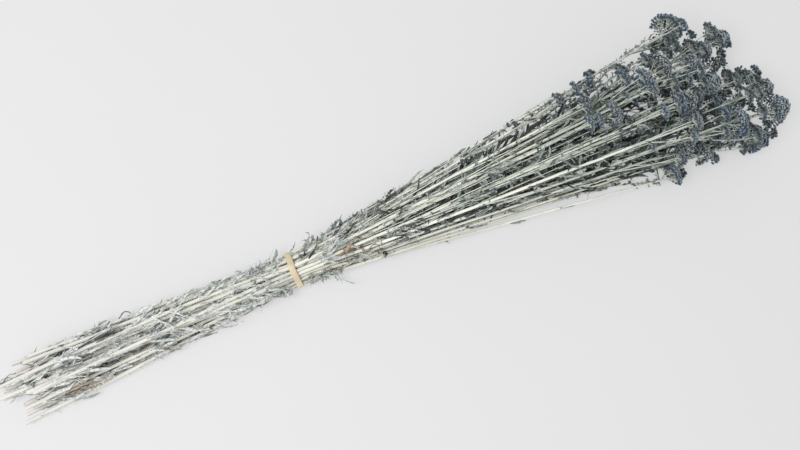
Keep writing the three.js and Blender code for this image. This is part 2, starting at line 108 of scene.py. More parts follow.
def makeRandom(seed):
    state = seed * 2654435761 % 4294967296

    def draw():
        nonlocal state
        state = (state * 1664525 + 1013904223) % 4294967296
        return state / 4294967296

    return draw


def between(low, high, share):
    return low + (high - low) * share


def stalkRadius(girth, along):
    return girth * between(growth["footRadius"], growth["tipRadius"],
                           np.minimum(1, along / growth["tipAlong"]))


def vec(*numbers):
    return np.array(numbers, float)


def unit(v):
    return v / math.sqrt(v @ v)


def cross(a, b):
    return vec(a[1] * b[2] - a[2] * b[1], a[2] * b[0] - a[0] * b[2], a[0] * b[1] - a[1] * b[0])


def sideways(axis):
    level = unit(cross((0, 0, 1), axis))
    return level, cross(axis, level)


def planStem(index, head):
    along, across, height, width, turn = head
    random = makeRandom(1000 + index * 77)
    yaw = math.radians(turn)
    pitch = math.radians(between(-10, 14, random()))
    axis = vec(math.cos(yaw) * math.cos(pitch), math.sin(yaw) * math.cos(pitch), math.sin(pitch))
    rayLength = width * 0.72
    base = vec(along, across, height) - axis * rayLength * 0.6
    inFan = (across / headShape[0], (height - headShape[2]) / headShape[1])
    foot = random() * growth["footStagger"]
    branchAt = base[0] - between(42, 78, random())
    wander = (between(-1, 1, random()), between(-1, 1, random()))
    girth = between(growth["thinnest"], growth["stoutest"], random())
    band = vec(inFan[0] * bandShape[0], bandShape[2] + inFan[1] * bandShape[1])
    end = vec(
        (inFan[0] * 0.8 + wander[0] * 0.35) * footShape[0],
        footShape[2] + (inFan[1] * 0.8 + wander[1] * 0.3) * footShape[1],
    )
    path = []
    for station in stations:
        if station < growth["bandAlong"]:
            path.append(between(band, end, (growth["bandAlong"] - station) / growth["bandAlong"]))
        else:
            share = (station - growth["bandAlong"]) / (base[0] - growth["bandAlong"])
            path.append(between(band, base[1:], share ** 1.12))
    return {
        "index": index, "girth": girth, "width": width, "axis": axis, "rayLength": rayLength, "base": base,
        "foot": foot, "branchAt": branchAt, "path": np.array(path),
    }


def stationBefore(along):
    k = 0
    while k < len(stations) - 2 and along > stations[k + 1]:
        k += 1
    return k


def centreAt(stem, along):
    k = stationBefore(along)
    share = (along - stations[k]) / (stations[k + 1] - stations[k])
    y, z = between(stem["path"][k], stem["path"][k + 1], share)
    return vec(along, y, z)


def settle(stems):  # the stems push one another apart until they all have room
    count = len(stems)
    paths = np.array([stem["path"] for stem in stems])
    wish = paths.copy()
    baseX = np.array([stem["base"][0] for stem in stems])
    axes = np.array([stem["axis"] for stem in stems])
    reach = np.array([stem["rayLength"] * 0.6 for stem in stems])
    widths = np.array([stem["width"] for stem in stems], float)
    girths = np.array([stem["girth"] for stem in stems])
    rows = np.arange(count)

    def crossing(alongs, who):  # where these stems pass these distances
        k = np.array([stationBefore(x) for x in alongs])
        share = ((alongs - stations[k]) / (stations[k + 1] - stations[k]))[:, None]
        return paths[who, k] + (paths[who, k + 1] - paths[who, k]) * share

    bases = np.array([stem["base"][1:] for stem in stems])
    one, other = np.triu_indices(count, 1)
    gaps = np.arange(len(stations) - 1)
    live = (stations[gaps] < baseX[one][:, None]) & (stations[gaps] < baseX[other][:, None])
    room = stalkRadius((girths[one] + girths[other])[:, None], stations[:-1]) + growth["clearance"]
    share = ((stations[1:-1] - stations[:-2]) / (stations[2:] - stations[:-2]))[:, None]
    floor = stalkRadius(girths[:, None], stations) * growth["flatSide"] - growth["footPress"]
    middle = vec(0, bandShape[2])
    atBand = np.zeros(len(stations), bool)
    atBand[list(bandStations)] = True
    owner, guest = [a.ravel() for a in np.meshgrid(rows, rows, indexing="ij")]
    owner, guest = owner[owner != guest], guest[owner != guest]

    for turn in range(growth["rounds"]):
        push = np.zeros_like(paths)
        start = paths[one][:, :-1] - paths[other][:, :-1]
        along = paths[one][:, 1:] - paths[other][:, 1:] - start
        length = (along ** 2).sum(2)
        t = np.where(length > 1e-9, np.clip(-(start * along).sum(2) / np.maximum(length, 1e-12), 0, 1), 0)
        near = start + along * t[:, :, None]
        apart = np.sqrt((near ** 2).sum(2))
        pair, k = np.nonzero(live & (apart < room) & (apart >= 1e-6))
        step = (0.5 * (room[pair, k] - apart[pair, k]) / apart[pair, k])[:, None] * near[pair, k]
        first, second = step * (1 - t[pair, k])[:, None], step * t[pair, k][:, None]
        np.add.at(push, (one[pair], k), first)
        np.add.at(push, (one[pair], k + 1), second)
        np.add.at(push, (other[pair], k), -first)
        np.add.at(push, (other[pair], k + 1), -second)

        middles = np.column_stack([baseX, bases]) + axes * reach[:, None]
        passes = baseX[guest] > middles[owner, 0]
        at = middles[guest].copy()
        met = middles[owner[passes], 0]
        at[passes] = np.column_stack([met, crossing(met, guest[passes])])
        off = at - middles[owner]
        apart = np.sqrt((off ** 2).sum(1))
        headSpace = np.where(
            passes, widths[owner] * growth["stemHeadRoom"],
            (widths[owner] + widths[guest]) * growth["headRoom"]
        )
        hit = np.nonzero((apart < headSpace) & (apart >= 1e-6))[0]
        shove = off[hit, 1:] * (0.3 * (headSpace[hit] - apart[hit]) / apart[hit])[:, None]
        k = np.array([stationBefore(x) for x in at[hit, 0]], int)
        mine = np.array([stationBefore(x) for x in middles[owner[hit], 0]], int)
        both = ~passes[hit]
        for more in (0, 1):
            np.add.at(push, (guest[hit], k + more), shove)
            np.add.at(push, (owner[hit][both], mine[both] + more), -shove[both])

        held = max(0, 1 - turn / (growth["rounds"] * 0.8))
        straight = paths.copy()
        straight[:, 1:-1] = paths[:, :-2] + (paths[:, 2:] - paths[:, :-2]) * share
        paths += push * 0.9 + 0.03 * held * (wish - paths)
        paths += held * np.where(atBand[None, :, None], bandPull * (middle - paths),
                                 0.12 * (straight - paths))
        paths[:, :, 1] = np.maximum(paths[:, :, 1], floor)
        bases = crossing(baseX, rows)

    for stem, path, base in zip(stems, paths, bases):
        stem["path"] = path
        stem["base"] = vec(stem["base"][0], *base)


# Grown strands, so that a new shoot keeps clear of the others: from, to, radius, owner
strands = np.zeros((0, 8))


def segmentGap(a0, a1, b0, b1):
    u, v, w = a1 - a0, b1 - b0, a0 - b0
    uu, vv, uv, uw, vw = u @ u, (v * v).sum(1), v @ u, w @ u, (v * w).sum(1)
    flat = uu * vv - uv * uv
    s = np.where(flat > 1e-9 * uu * vv, np.clip((uv * vw - vv * uw) / np.where(flat == 0, 1, flat), 0, 1), 0)
    t = np.clip((uv * s + vw) / vv, 0, 1)
    s = np.clip((uv * t - uw) / uu, 0, 1)
    off = w + u * s[:, None] - v * t[:, None]
    return np.sqrt((off * off).sum(1))


def isClear(pieces, owner, gap):
    others = strands[strands[:, 7] != owner]
    for start, end, radius in pieces:
        low, high = min(start[0], end[0]) - radius - gap - 12, max(start[0], end[0]) + radius + gap + 12
        spans = np.minimum(others[:, 0], others[:, 3]), np.maximum(others[:, 0], others[:, 3])
        close = others[(spans[1] > low) & (spans[0] < high)]
        if len(close) and (segmentGap(start, end, close[:, :3], close[:, 3:6])
                           <= radius + close[:, 6] + gap).any():
            return False
    return True


def register(pieces, owner):
    global strands
    rows = [np.concatenate([start, end, [radius, owner]]) for start, end, radius in pieces]
    if rows:
        strands = np.vstack([strands, rows])


def stemLine(stem, start, end):
    inner = [x for x in stations if start + 3 < x < end - 3]
    return [centreAt(stem, x) for x in (start, *inner, end)]


def asStrands(points, radiusAt):
    return [(a, b, radiusAt(a[0])) for a, b in zip(points, points[1:])]


def planUmbel(base, axis, width, rayLength, outer, random):
    side, over = sideways(axis)
    turn = random() * 2 * math.pi
    droop = between(0.25, 0.6, random())
    half = math.sin(math.pi / outer)
    floret = (width / 2) * half / (1.02 + growth["umbelSpread"] * half)

    def place(ray, turnBy, pull):
        angle, reach, rootAt = ray
        radius = (width / 2 - floret * growth["umbelSpread"]) * pull
        height = rayLength * reach * (1 - droop) * pull
        tip = (base + axis * height + side * radius * math.cos(angle + turnBy)
               + over * radius * math.sin(angle + turnBy))
        tip[2] = max(tip[2], floret * growth["tableRoom"])
        return base + axis * rootAt, tip, floret

    rays = []
    for k in range(outer):
        angle = turn + (k + between(-0.12, 0.12, random())) / outer * 2 * math.pi
        reach = between(0.93, 1.07, random())
        rays.append((angle, reach, rayLength * between(-0.08, 0.2, k * growth["golden"] % 1)))
    return {"rays": rays, "place": place, "tip": base + axis * rayLength * 0.9, "floret": floret}


def floretStrand(start, tip, floret):
    along = unit(tip - start)
    return tip - along * floret * 0.15, tip + along * floret * 0.12, floret


def rayStrands(ray):
    root, tip, floret = ray
    along = unit(tip - root)
    return [(root + along * 1.2, tip - along * floret * 0.6, growth["rayRadius"]),
            floretStrand(root, tip, floret)]


def growRays(umbel, owner):
    grown = []
    for ray in umbel["rays"]:
        tries = [umbel["place"](ray, math.radians(turn), pull) for pull in growth["pullTries"]
                 for turn in growth["turnTries"]]
        free = next((one for one in tries if isClear(rayStrands(one), owner, growth["clearance"] / 2)), None)
        if free is not None:
            register(rayStrands(free), owner)
            grown.append(free)
    return grown


def headMiddle(stem):
    return stem["base"] + stem["axis"] * stem["rayLength"] * 0.6


def fanHalf(along):  # how far the bunch reaches to either side of its middle
    share = (along - growth["bandAlong"]) / (headsAlong - growth["bandAlong"])
    return between(bandShape[0], headShape[0], share) * 0.9


def growBranch(stem, owner, number):
    random = makeRandom(5000 + stem["index"] * 91 + number * 17)
    for attempt in range(18):
        at = stem["branchAt"] + number * 11 + between(4, 16, random())
        root = centreAt(stem, at)
        forward = unit(centreAt(stem, at + 10) - centreAt(stem, at - 10))
        side, over = sideways(forward)
        angle = (attempt * growth["golden"] + random() * 0.3) * 2 * math.pi
        lean = math.radians(between(20, 34, random()))
        length = between(26, 48, random()) * (1 if attempt < 8 else 0.7)
        away = side * math.cos(angle) + over * math.sin(angle)
        knee = root + forward * (length / 2) * math.cos(lean) + away * (length / 2) * math.sin(lean)
        bend = lean * 0.35
        base = knee + forward * (length / 2) * math.cos(bend) + away * (length / 2) * math.sin(bend)
        floret = between(5.6, 8, random())
        tip = base + unit(base - knee) * floret * 1.2
        pieces = asStrands([root + unit(knee - root) * 2, knee, tip], lambda x: growth["branchRadius"])
        pieces.append(floretStrand(base, tip, floret))
        onTable = any(end[2] < radius * growth["tableRoom"] for _, end, radius in pieces)
        astray = tip[0] > headMiddle(stem)[0] or any(abs(end[1]) > fanHalf(end[0]) for _, end, _ in pieces)
        if not onTable and not astray and isClear(pieces, owner, growth["clearance"] / 2):
            register(pieces, owner)
            return [{"points": [root, knee, base], "tip": tip, "floret": floret}]
    return []


def bunchMiddle(along):
    band = growth["bandAlong"]
    share = (band - along) / band if along < band else (along - band) / (600 - band)
    end = footShape if along < band else headShape
    return vec(along, 0, between(bandShape[2], end[2], min(1, share)))


def planLeaf(stem, random, attempt):
    start, end = stem["foot"] + 22, stem["branchAt"] - 26
    at = between(start, end, (stem["index"] * 0.37 + attempt * growth["golden"] + random() * 0.08) % 1)
    centre = centreAt(stem, at)
    forward = unit(centreAt(stem, at + 10) - centreAt(stem, at - 10))
    side, over = sideways(forward)
    out = centre - bunchMiddle(at)
    angle = math.atan2(out @ over, out @ side) + math.radians(between(-75, 75, random()))
    lean = math.radians(between(14, 36, random()))
    length = between(15, 25, random())
    width = between(4.8, 6.6, random())
    away = side * math.cos(angle) + over * math.sin(angle)
    root = centre + away * (stalkRadius(stem["girth"], at) - growth["leafSunk"])
    flat = cross(forward, away)

    def point(share, off, lift=0.0):
        bend = lean * (1.35 - 0.75 * share)
        reach = length * share
        return (root + forward * reach * math.cos(bend) + away * (reach * math.sin(bend) + lift)
                + flat * (off * width / 2))

    return {"at": at, "point": point, "flat": flat, "length": length, "width": width}


def leafStrands(leaf):
    point = leaf["point"]
    lines = [[point(0.1, 0), point(0.5, 0), point(1, 0)]]
    for sign in (1, -1):
        lines.append([point(share, off * sign) for share, off in (leafTeeth[0], leafTeeth[2], (1, 0))])
    return [strand for line in lines for strand in asStrands(line, lambda x: 0.6)]


def growLeaves(stem, owner):
    random = makeRandom(9000 + stem["index"] * 53)
    grown = []
    for attempt in range(growth["leafTries"]):
        if len(grown) == growth["leavesPerStalk"]:
            break
        leaf = planLeaf(stem, random, attempt)
        pieces = leafStrands(leaf)
        nearBand = abs(leaf["at"] + 12 - growth["bandAlong"]) < 20
        if (nearBand or any(end[2] < 0.9 for _, end, _ in pieces)
                or not isClear(pieces, owner, growth["clearance"])):
            continue
        register(pieces, owner)
        grown.append(leaf)
    return grown


stems = [planStem(index, head) for index, head in enumerate(heads)]
settle(stems)
topOwner = 100  # added to a stem's index for its flowering top
for stem in stems:
    cut = growth["topGap"] / 2
    radiusAt = partial(stalkRadius, stem["girth"])
    register(asStrands(stemLine(stem, stem["foot"], stem["branchAt"] - cut), radiusAt), stem["index"])
    register(asStrands(stemLine(stem, stem["branchAt"] + cut, stem["base"][0]), radiusAt),
             topOwner + stem["index"])
headRandom = makeRandom(31)
for stem in stems:
    outer = 5 + (stem["width"] >= 21) + (stem["width"] >= 26)
    stem["umbel"] = planUmbel(stem["base"], stem["axis"], stem["width"], stem["rayLength"], outer, headRandom)
    register([floretStrand(stem["base"], stem["umbel"]["tip"], stem["umbel"]["floret"])],
             topOwner + stem["index"])
for stem in stems:
    stem["rays"] = growRays(stem["umbel"], topOwner + stem["index"])
    stem["branches"] = []
for number in range(growth["branchesPerTop"]):
    for stem in stems:
        stem["branches"] += growBranch(stem, topOwner + stem["index"], number)
for stem in stems:
    stem["leaves"] = growLeaves(stem, stem["index"])
print("growth settled,", [sum(len(stem[part]) for stem in stems) for part in ("rays", "branches", "leaves")])


def bandLoop(count, grow):  # the loop round the outermost stalks, as support lines and their corners
    angles = np.arange(count) / count * 2 * math.pi
    ends = [growth["bandAlong"] + side * growth["bandWidth"] / 2 for side in (-1, 1)]
    crossings = np.array([[*centreAt(stem, x)[1:], stalkRadius(stem["girth"], x)] for stem in stems
                          for x in ends])
    reach = np.array([
        (crossings[:, 0] * math.cos(a) + crossings[:, 1] * math.sin(a) + crossings[:, 2]).max()
        for a in angles
    ]) + growth["bandGap"] + grow
    after, nextAngle = np.roll(reach, -1), np.roll(angles, -1)
    turn = np.sin(nextAngle - angles)
    y = (reach * np.sin(nextAngle) - after * np.sin(angles)) / turn
    z = (after * np.cos(angles) - reach * np.cos(nextAngle)) / turn
    return np.column_stack([y, z])


# The bunch stands over the origin: the rubber band's own node says how far it was moved
outerLoop = bandLoop(growth["bandSides"], growth["bandThickness"])
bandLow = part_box("rubber_band")[0]
shift = vec(bandLow.x * 1000 - growth["bandAlong"] + growth["bandWidth"] / 2,
            bandLow.y * 1000 - outerLoop[:, 0].min(), 0)
print("bunch moved by", shift.round(3).tolist(), "mm")


# Camera

photoView = {
    "azimuth": -23.5,
    "elevation": 80.0,
    "distance": 0.56,
    "aim": (357.4, -2.3, 20.0),  # along the bunch, across and up, in millimetres
    "lens": 30.0,
}


def makeCamera():
    azimuth, elevation = math.radians(photoView["azimuth"]), math.radians(photoView["elevation"])
    level = math.cos(elevation)
    back = Vector((math.sin(azimuth) * level, -math.cos(azimuth) * level, math.sin(elevation)))
    lens = bpy.data.cameras.new("photoCamera")
    lens.lens, lens.sensor_width = photoView["lens"], 36.0
    lens.clip_start, lens.clip_end = 0.01, 20.0
    camera = bpy.data.objects.new("photoCamera", lens)
    camera.location = Vector((vec(*photoView["aim"]) + shift) / 1000) + back * photoView["distance"]
    camera.rotation_mode = "QUATERNION"
    camera.rotation_quaternion = (-back).to_track_quat("-Z", "Y")
    scene.collection.objects.link(camera)
    scene.camera = camera


makeCamera()
print("camera set")


# In the inputs of a new node, a number picks one of the sockets in use and a name the first so named
def addNode(tree, kind, inputs=None, **settings):
    made = tree.nodes.new(kind)
    for name, value in settings.items():
        setattr(made, name, value)
    live = [socket for socket in made.inputs if socket.enabled]
    for key, value in (inputs or {}).items():
        socket = live[key] if isinstance(key, int) else next(s for s in live if s.name == key)
        if isinstance(value, bpy.types.NodeSocket):
            tree.links.new(value, socket)
        else:
            socket.default_value = value
    return made


def outOf(made, name=None):
    return next(s for s in made.outputs if s.enabled and name in (None, s.name))


def newTree(name, sockets):
    tree = bpy.data.node_groups.new(name, "GeometryNodeTree")
    tree.interface.new_socket("Geometry", in_out="INPUT", socket_type="NodeSocketGeometry")
    for label, kind, value in sockets:
        socket = tree.interface.new_socket(label, in_out="INPUT", socket_type="NodeSocket" + kind)
        if value is not None:
            socket.default_value = value
    tree.interface.new_socket("Geometry", in_out="OUTPUT", socket_type="NodeSocketGeometry")
    given = tree.nodes.new("NodeGroupInput").outputs
    result = tree.nodes.new("NodeGroupOutput").inputs[0]
    return tree, given, result


def grown(name, mesh, tree, values):  # runs the tree on the mesh and keeps only what it made
    piece = bpy.data.objects.new(name, mesh)
    scene.collection.objects.link(piece)
    grower = piece.modifiers.new("grow", "NODES")
    grower.node_group = tree
    for item in tree.interface.items_tree:
        if item.in_out == "INPUT" and item.name in values:
            grower[item.identifier] = values[item.name]
    graph = bpy.context.evaluated_depsgraph_get()
    finished = bpy.data.meshes.new_from_object(piece.evaluated_get(graph), preserve_all_data_layers=True,
                                               depsgraph=graph)
    piece.modifiers.remove(grower)
    piece.data = finished
    finished.name = name
    bpy.data.meshes.remove(mesh)
    return piece


# Skins

skinColours = {
    "stalkFoot": (0.78, 0.76, 0.72, 1),
    "stalkBand": (0.93, 0.92, 0.84, 1),
    "stalkFan": (0.97, 0.98, 0.88, 1),
    "stalkTop": (0.58, 0.64, 0.58, 1),
    "stain": (0.42, 0.27, 0.14, 1),
    "leafDark": (0.03, 0.04, 0.04, 1),
    "leafMid": (0.76, 0.79, 0.76, 1),
    "leafPale": (0.86, 0.86, 0.83, 1),
    "rust": (0.40, 0.26, 0.14, 1),
    "twigPale": (0.86, 0.89, 0.80, 1),
    "twigGrey": (0.22, 0.26, 0.25, 1),
    "floretDark": (0.009, 0.015, 0.021, 1),
    "floretGrey": (0.100, 0.138, 0.158, 1),
    "floretBlue": (0.035, 0.075, 0.135, 1),
    "floretSpeck": (0.84, 0.91, 0.92, 1),
    "band": (0.60, 0.49, 0.30, 1),
    "bandPale": (0.69, 0.59, 0.41, 1),
    "floor": (0.335, 0.335, 0.338, 1),
    "floorPatch": (0.32, 0.32, 0.324, 1),
}


def newSkin(name, roughness):
    skin = bpy.data.materials.new(name)
    skin.use_nodes = True
    shader = skin.node_tree.nodes["Principled BSDF"]
    shader.inputs["Roughness"].default_value = roughness
    return skin, skin.node_tree, shader


def ramp(tree, value, stops):
    made = addNode(tree, "ShaderNodeValToRGB", {"Fac": value})
    made.color_ramp.elements.remove(made.color_ramp.elements[1])
    for k, (place, colour) in enumerate(stops):
        stop = made.color_ramp.elements[0] if k == 0 else made.color_ramp.elements.new(place)
        stop.position, stop.color = place, colour
    return made.outputs["Color"]


def mixed(tree, share, one, other, how="MIX"):
    made = addNode(tree, "ShaderNodeMix", data_type="RGBA", blend_type=how)
    for socket, value in zip([s for s in made.inputs if s.enabled], (share, one, other)):
        if isinstance(value, bpy.types.NodeSocket):
            tree.links.new(value, socket)
        else:
            socket.default_value = value
    return outOf(made)


def maths(tree, how, *values):
    return outOf(addNode(tree, "ShaderNodeMath", dict(enumerate(values)), operation=how))


def spread(tree, value, low, high, newLow=0.0, newHigh=1.0):
    made = addNode(tree, "ShaderNodeMapRange", {
        "Value": value, "From Min": low, "From Max": high, "To Min": newLow, "To Max": newHigh,
    })
    return outOf(made)


def place(tree, stretch=(1, 1, 1)):
    spot = addNode(tree, "ShaderNodeTexCoord").outputs["Object"]
    return outOf(addNode(tree, "ShaderNodeMapping", {"Vector": spot, "Scale": stretch}))


def noise(tree, where, scale, detail=2.0, roughness=0.5):
    made = addNode(tree, "ShaderNodeTexNoise",
                   {"Vector": where, "Scale": scale, "Detail": detail, "Roughness": roughness})
    return made.outputs["Fac"]


def carried(tree, name):
    return addNode(tree, "ShaderNodeAttribute", attribute_name=name).outputs["Fac"]


def alongBunch(tree):  # 0 at the cut feet, 1 at the flower heads
    x = addNode(tree, "ShaderNodeSeparateXYZ", {"Vector": place(tree)}).outputs["X"]
    return spread(tree, x, -0.34, 0.34)


def finishSkin(tree, shader, colour, grain, distance, low, high):
    tree.links.new(colour, shader.inputs["Base Color"])
    tree.links.new(spread(tree, grain, 0.3, 0.7, low, high), shader.inputs["Roughness"])
    bump = addNode(tree, "ShaderNodeBump", {"Strength": 0.6, "Distance": distance, "Height": grain})
    tree.links.new(bump.outputs["Normal"], shader.inputs["Normal"])


def driedStalkSkin():
    skin, tree, shader = newSkin("driedStalk", 0.8)
    c = skinColours
    base = ramp(tree, alongBunch(tree), [
        (0.0, c["stalkFoot"]), (0.38, c["stalkBand"]), (0.70, c["stalkFan"]), (0.95, c["stalkTop"]),
    ])
    fibre = noise(tree, place(tree, (55, 1700, 1700)), 1.0, 3.0, 0.6)
    cloud = noise(tree, place(tree, (1, 4, 4)), 26.0, 3.0)
    worn = mixed(tree, spread(tree, fibre, 0.45, 0.75, 0, 0.45), base, (0.55, 0.54, 0.50, 1), "MULTIPLY")
    # the tone attribute carries the stalk's own tone and its painted shade under other stems
    tonedAndShaded = mixed(tree, carried(tree, "tone"), worn, (0.34, 0.35, 0.29, 1), "MULTIPLY")
    stained = mixed(tree, spread(tree, cloud, 0.66, 0.82, 0, 0.5), tonedAndShaded, c["stain"])
    rusty = mixed(tree, carried(tree, "tint"), stained, c["rust"])
    finishSkin(tree, shader, rusty, fibre, 0.00025, 0.62, 0.92)
    return skin


def curledLeafSkin():
    skin, tree, shader = newSkin("curledLeaf", 0.9)
    c = skinColours
    grain = noise(tree, place(tree), 700.0, 3.0, 0.6)
    patch = noise(tree, place(tree, (1, 2, 2)), 60.0, 2.0)
    # the tone attribute carries the leaf's own tone and its painted shade under other stems
    level = maths(tree, "ADD", maths(tree, "MULTIPLY", carried(tree, "tone"), 0.8),
                  spread(tree, patch, 0.3, 0.7, -0.1, 0.15))
    lit = maths(tree, "ADD", level, maths(tree, "MULTIPLY", carried(tree, "tip"), 0.22))
    base = ramp(tree, lit, [(0.0, c["leafDark"]), (0.45, c["leafMid"]), (1.0, c["leafPale"])])
    fan = mixed(tree, spread(tree, alongBunch(tree), 0.26, 0.75), base, (0.43, 0.485, 0.45, 1), "MULTIPLY")
    rusty = mixed(tree, carried(tree, "tint"), fan, c["rust"])
    # painted shade: dark noise marks stand for the shade in the leaves' crumples
    fold = noise(tree, place(tree, (1, 1.5, 1.5)), 340.0, 3.0, 0.65)
    creaseShaded = mixed(tree, spread(tree, fold, 0.48, 0.60, 0.0, 0.75), rusty, (0.44, 0.47, 0.48, 1), "MULTIPLY")
    speckled = mixed(tree, spread(tree, grain, 0.35, 0.65, 0.0, 0.3), creaseShaded, (0.5, 0.53, 0.53, 1),
                     "MULTIPLY")
    finishSkin(tree, shader, speckled, grain, 0.0006, 0.75, 1.0)
    return skin


def paleTwigSkin():
    skin, tree, shader = newSkin("paleTwig", 0.85)
    c = skinColours
    grain = noise(tree, place(tree, (200, 1200, 1200)), 1.0, 2.0)
    base = ramp(tree, carried(tree, "tone"), [(0.0, c["twigGrey"]), (1.0, c["twigPale"])])
    fan = mixed(tree, spread(tree, alongBunch(tree), 0.65, 0.95, 0, 0.5), base, (0.60, 0.66, 0.66, 1),
                "MULTIPLY")
    worn = mixed(tree, spread(tree, grain, 0.4, 0.7, 0, 0.4), fan, (0.5, 0.52, 0.48, 1), "MULTIPLY")
    finishSkin(tree, shader, worn, grain, 0.00015, 0.7, 0.95)
    return skin


def dustyFloretSkin():
    skin, tree, shader = newSkin("dustyFloret", 0.9)
    c = skinColours
    grain = noise(tree, place(tree), 1100.0, 3.0, 0.65)
    patch = noise(tree, place(tree), 90.0, 2.0)
    level = maths(tree, "ADD", maths(tree, "MULTIPLY", carried(tree, "tone"), 0.7),
                  spread(tree, patch, 0.3, 0.7, 0, 0.3))
    base = mixed(tree, level, c["floretDark"], c["floretGrey"])
    blue = mixed(tree, carried(tree, "tint"), base, c["floretBlue"])
    dust = maths(tree, "MULTIPLY", carried(tree, "tip"), spread(tree, grain, 0.35, 0.65, 0.15, 1.0))
    speckled = mixed(tree, dust, blue, c["floretSpeck"])
    finishSkin(tree, shader, speckled, grain, 0.0003, 0.75, 1.0)
    return skin


def beigeRubberSkin():
    skin, tree, shader = newSkin("beigeRubber", 0.5)
    c = skinColours
    grain = noise(tree, place(tree, (3, 1, 1)), 900.0, 3.0, 0.6)
    patch = noise(tree, place(tree), 120.0, 2.0)
    base = mixed(tree, spread(tree, patch, 0.3, 0.7), c["band"], c["bandPale"])
    dusty = mixed(tree, spread(tree, grain, 0.5, 0.8, 0, 0.35), base, (0.80, 0.78, 0.72, 1))
    finishSkin(tree, shader, dusty, grain, 0.0001, 0.42, 0.62)
    return skin


stalkSkin, leafSkin, twigSkin, floretSkin = (
    driedStalkSkin(), curledLeafSkin(), paleTwigSkin(), dustyFloretSkin(),
)
print("skins mixed")


# Small shapes that are set many times, each one long along X with its upper side to +Z

def shapeObject(name, points, faces, tips):
    mesh = bpy.data.meshes.new(name)
    mesh.from_pydata([tuple(p) for p in points], [], faces)
    mesh.attributes.new("tip", "FLOAT", "POINT").data.foreach_set("value", np.array(tips, np.float32))
    shape = bpy.data.objects.new(name, mesh)
    scene.collection.objects.link(shape)
    return shape


def leafletShape(name, curl):  # a thin lobed blade, sharp all round
    outline = [(0, 0), (0.34, 0.32), (0.52, 0.13), (1.05, 0.04), (0.80, -0.26), (0.38, -0.24)]
    points = [(x, y, curl * x * x + 0.35 * abs(y)) for x, y in outline]
    middle = (0.48, 0, curl * 0.23)
    points += [(middle[0], 0, middle[2] + 0.03), (middle[0], 0, middle[2] - 0.07)]
    count = len(outline)
    faces, tips = [], [0.1 + 0.9 * x for x, y in outline] + [0.2, 0.1]
    for k in range(count):
        following = (k + 1) % count
        faces += [(following, k, count), (k, following, count + 1)]
    return shapeObject(name, points, faces, tips)


flowerRings = [(-1.25, 0.13, 0), (-0.40, 0.50, 0.03), (0.0, 0.42, 0.40)]  # along, radius, how pale


def flowerShape(name, petals, droop):  # a small cup of bracts with its disc and petals on top
    points, faces, tips = [], [], []
    sides = 4
    for x, radius, share in flowerRings:
        for k in range(sides):
            a = k / sides * 2 * math.pi
            points.append((x, radius * math.cos(a), radius * math.sin(a)))
            tips.append(share)
    points.append((0.16, 0, 0))
    tips.append(1.0)
    faces.append(tuple(reversed(range(sides))))
    for r in range(len(flowerRings) - 1):
        for k in range(sides):
            m = (k + 1) % sides
            faces.append((sides * r + k, sides * r + m, sides * r + sides + m, sides * r + sides + k))
    last = sides * (len(flowerRings) - 1)
    for k in range(sides):
        faces.append((last + k, last + (k + 1) % sides, last + sides))
    for k in range(petals):
        a = (k + 0.5) / petals * 2 * math.pi
        out, level = vec(0, math.cos(a), math.sin(a)), vec(0, -math.sin(a), math.cos(a))
        first = len(points)
        points += [out * 0.30 + level * 0.26, out * 0.30 - level * 0.26, out * 1.0 - vec(droop, 0, 0),
                   out * 0.5 - vec(0.2, 0, 0)]
        tips += [0.45, 0.45, 1.0, 0.15]
        faces += [(first, first + 1, first + 2), (first, first + 3, first + 1),
                  (first + 1, first + 3, first + 2), (first, first + 2, first + 3)]
    return shapeObject(name, points, faces, tips)


shapes = {
    "Leaflet": leafletShape("leaflet", 0.15),
    "Curled Leaflet": leafletShape("curledLeaflet", 0.75),
    "Open Flower": flowerShape("openFlower", 4, 0.12),
    "Shut Flower": flowerShape("shutFlower", 0, 0),
}
flatLeaflet, curledLeaflet, openFlower, shutFlower = range(4)
stalkKind, leafKind, twigKind, floretKind = range(4)


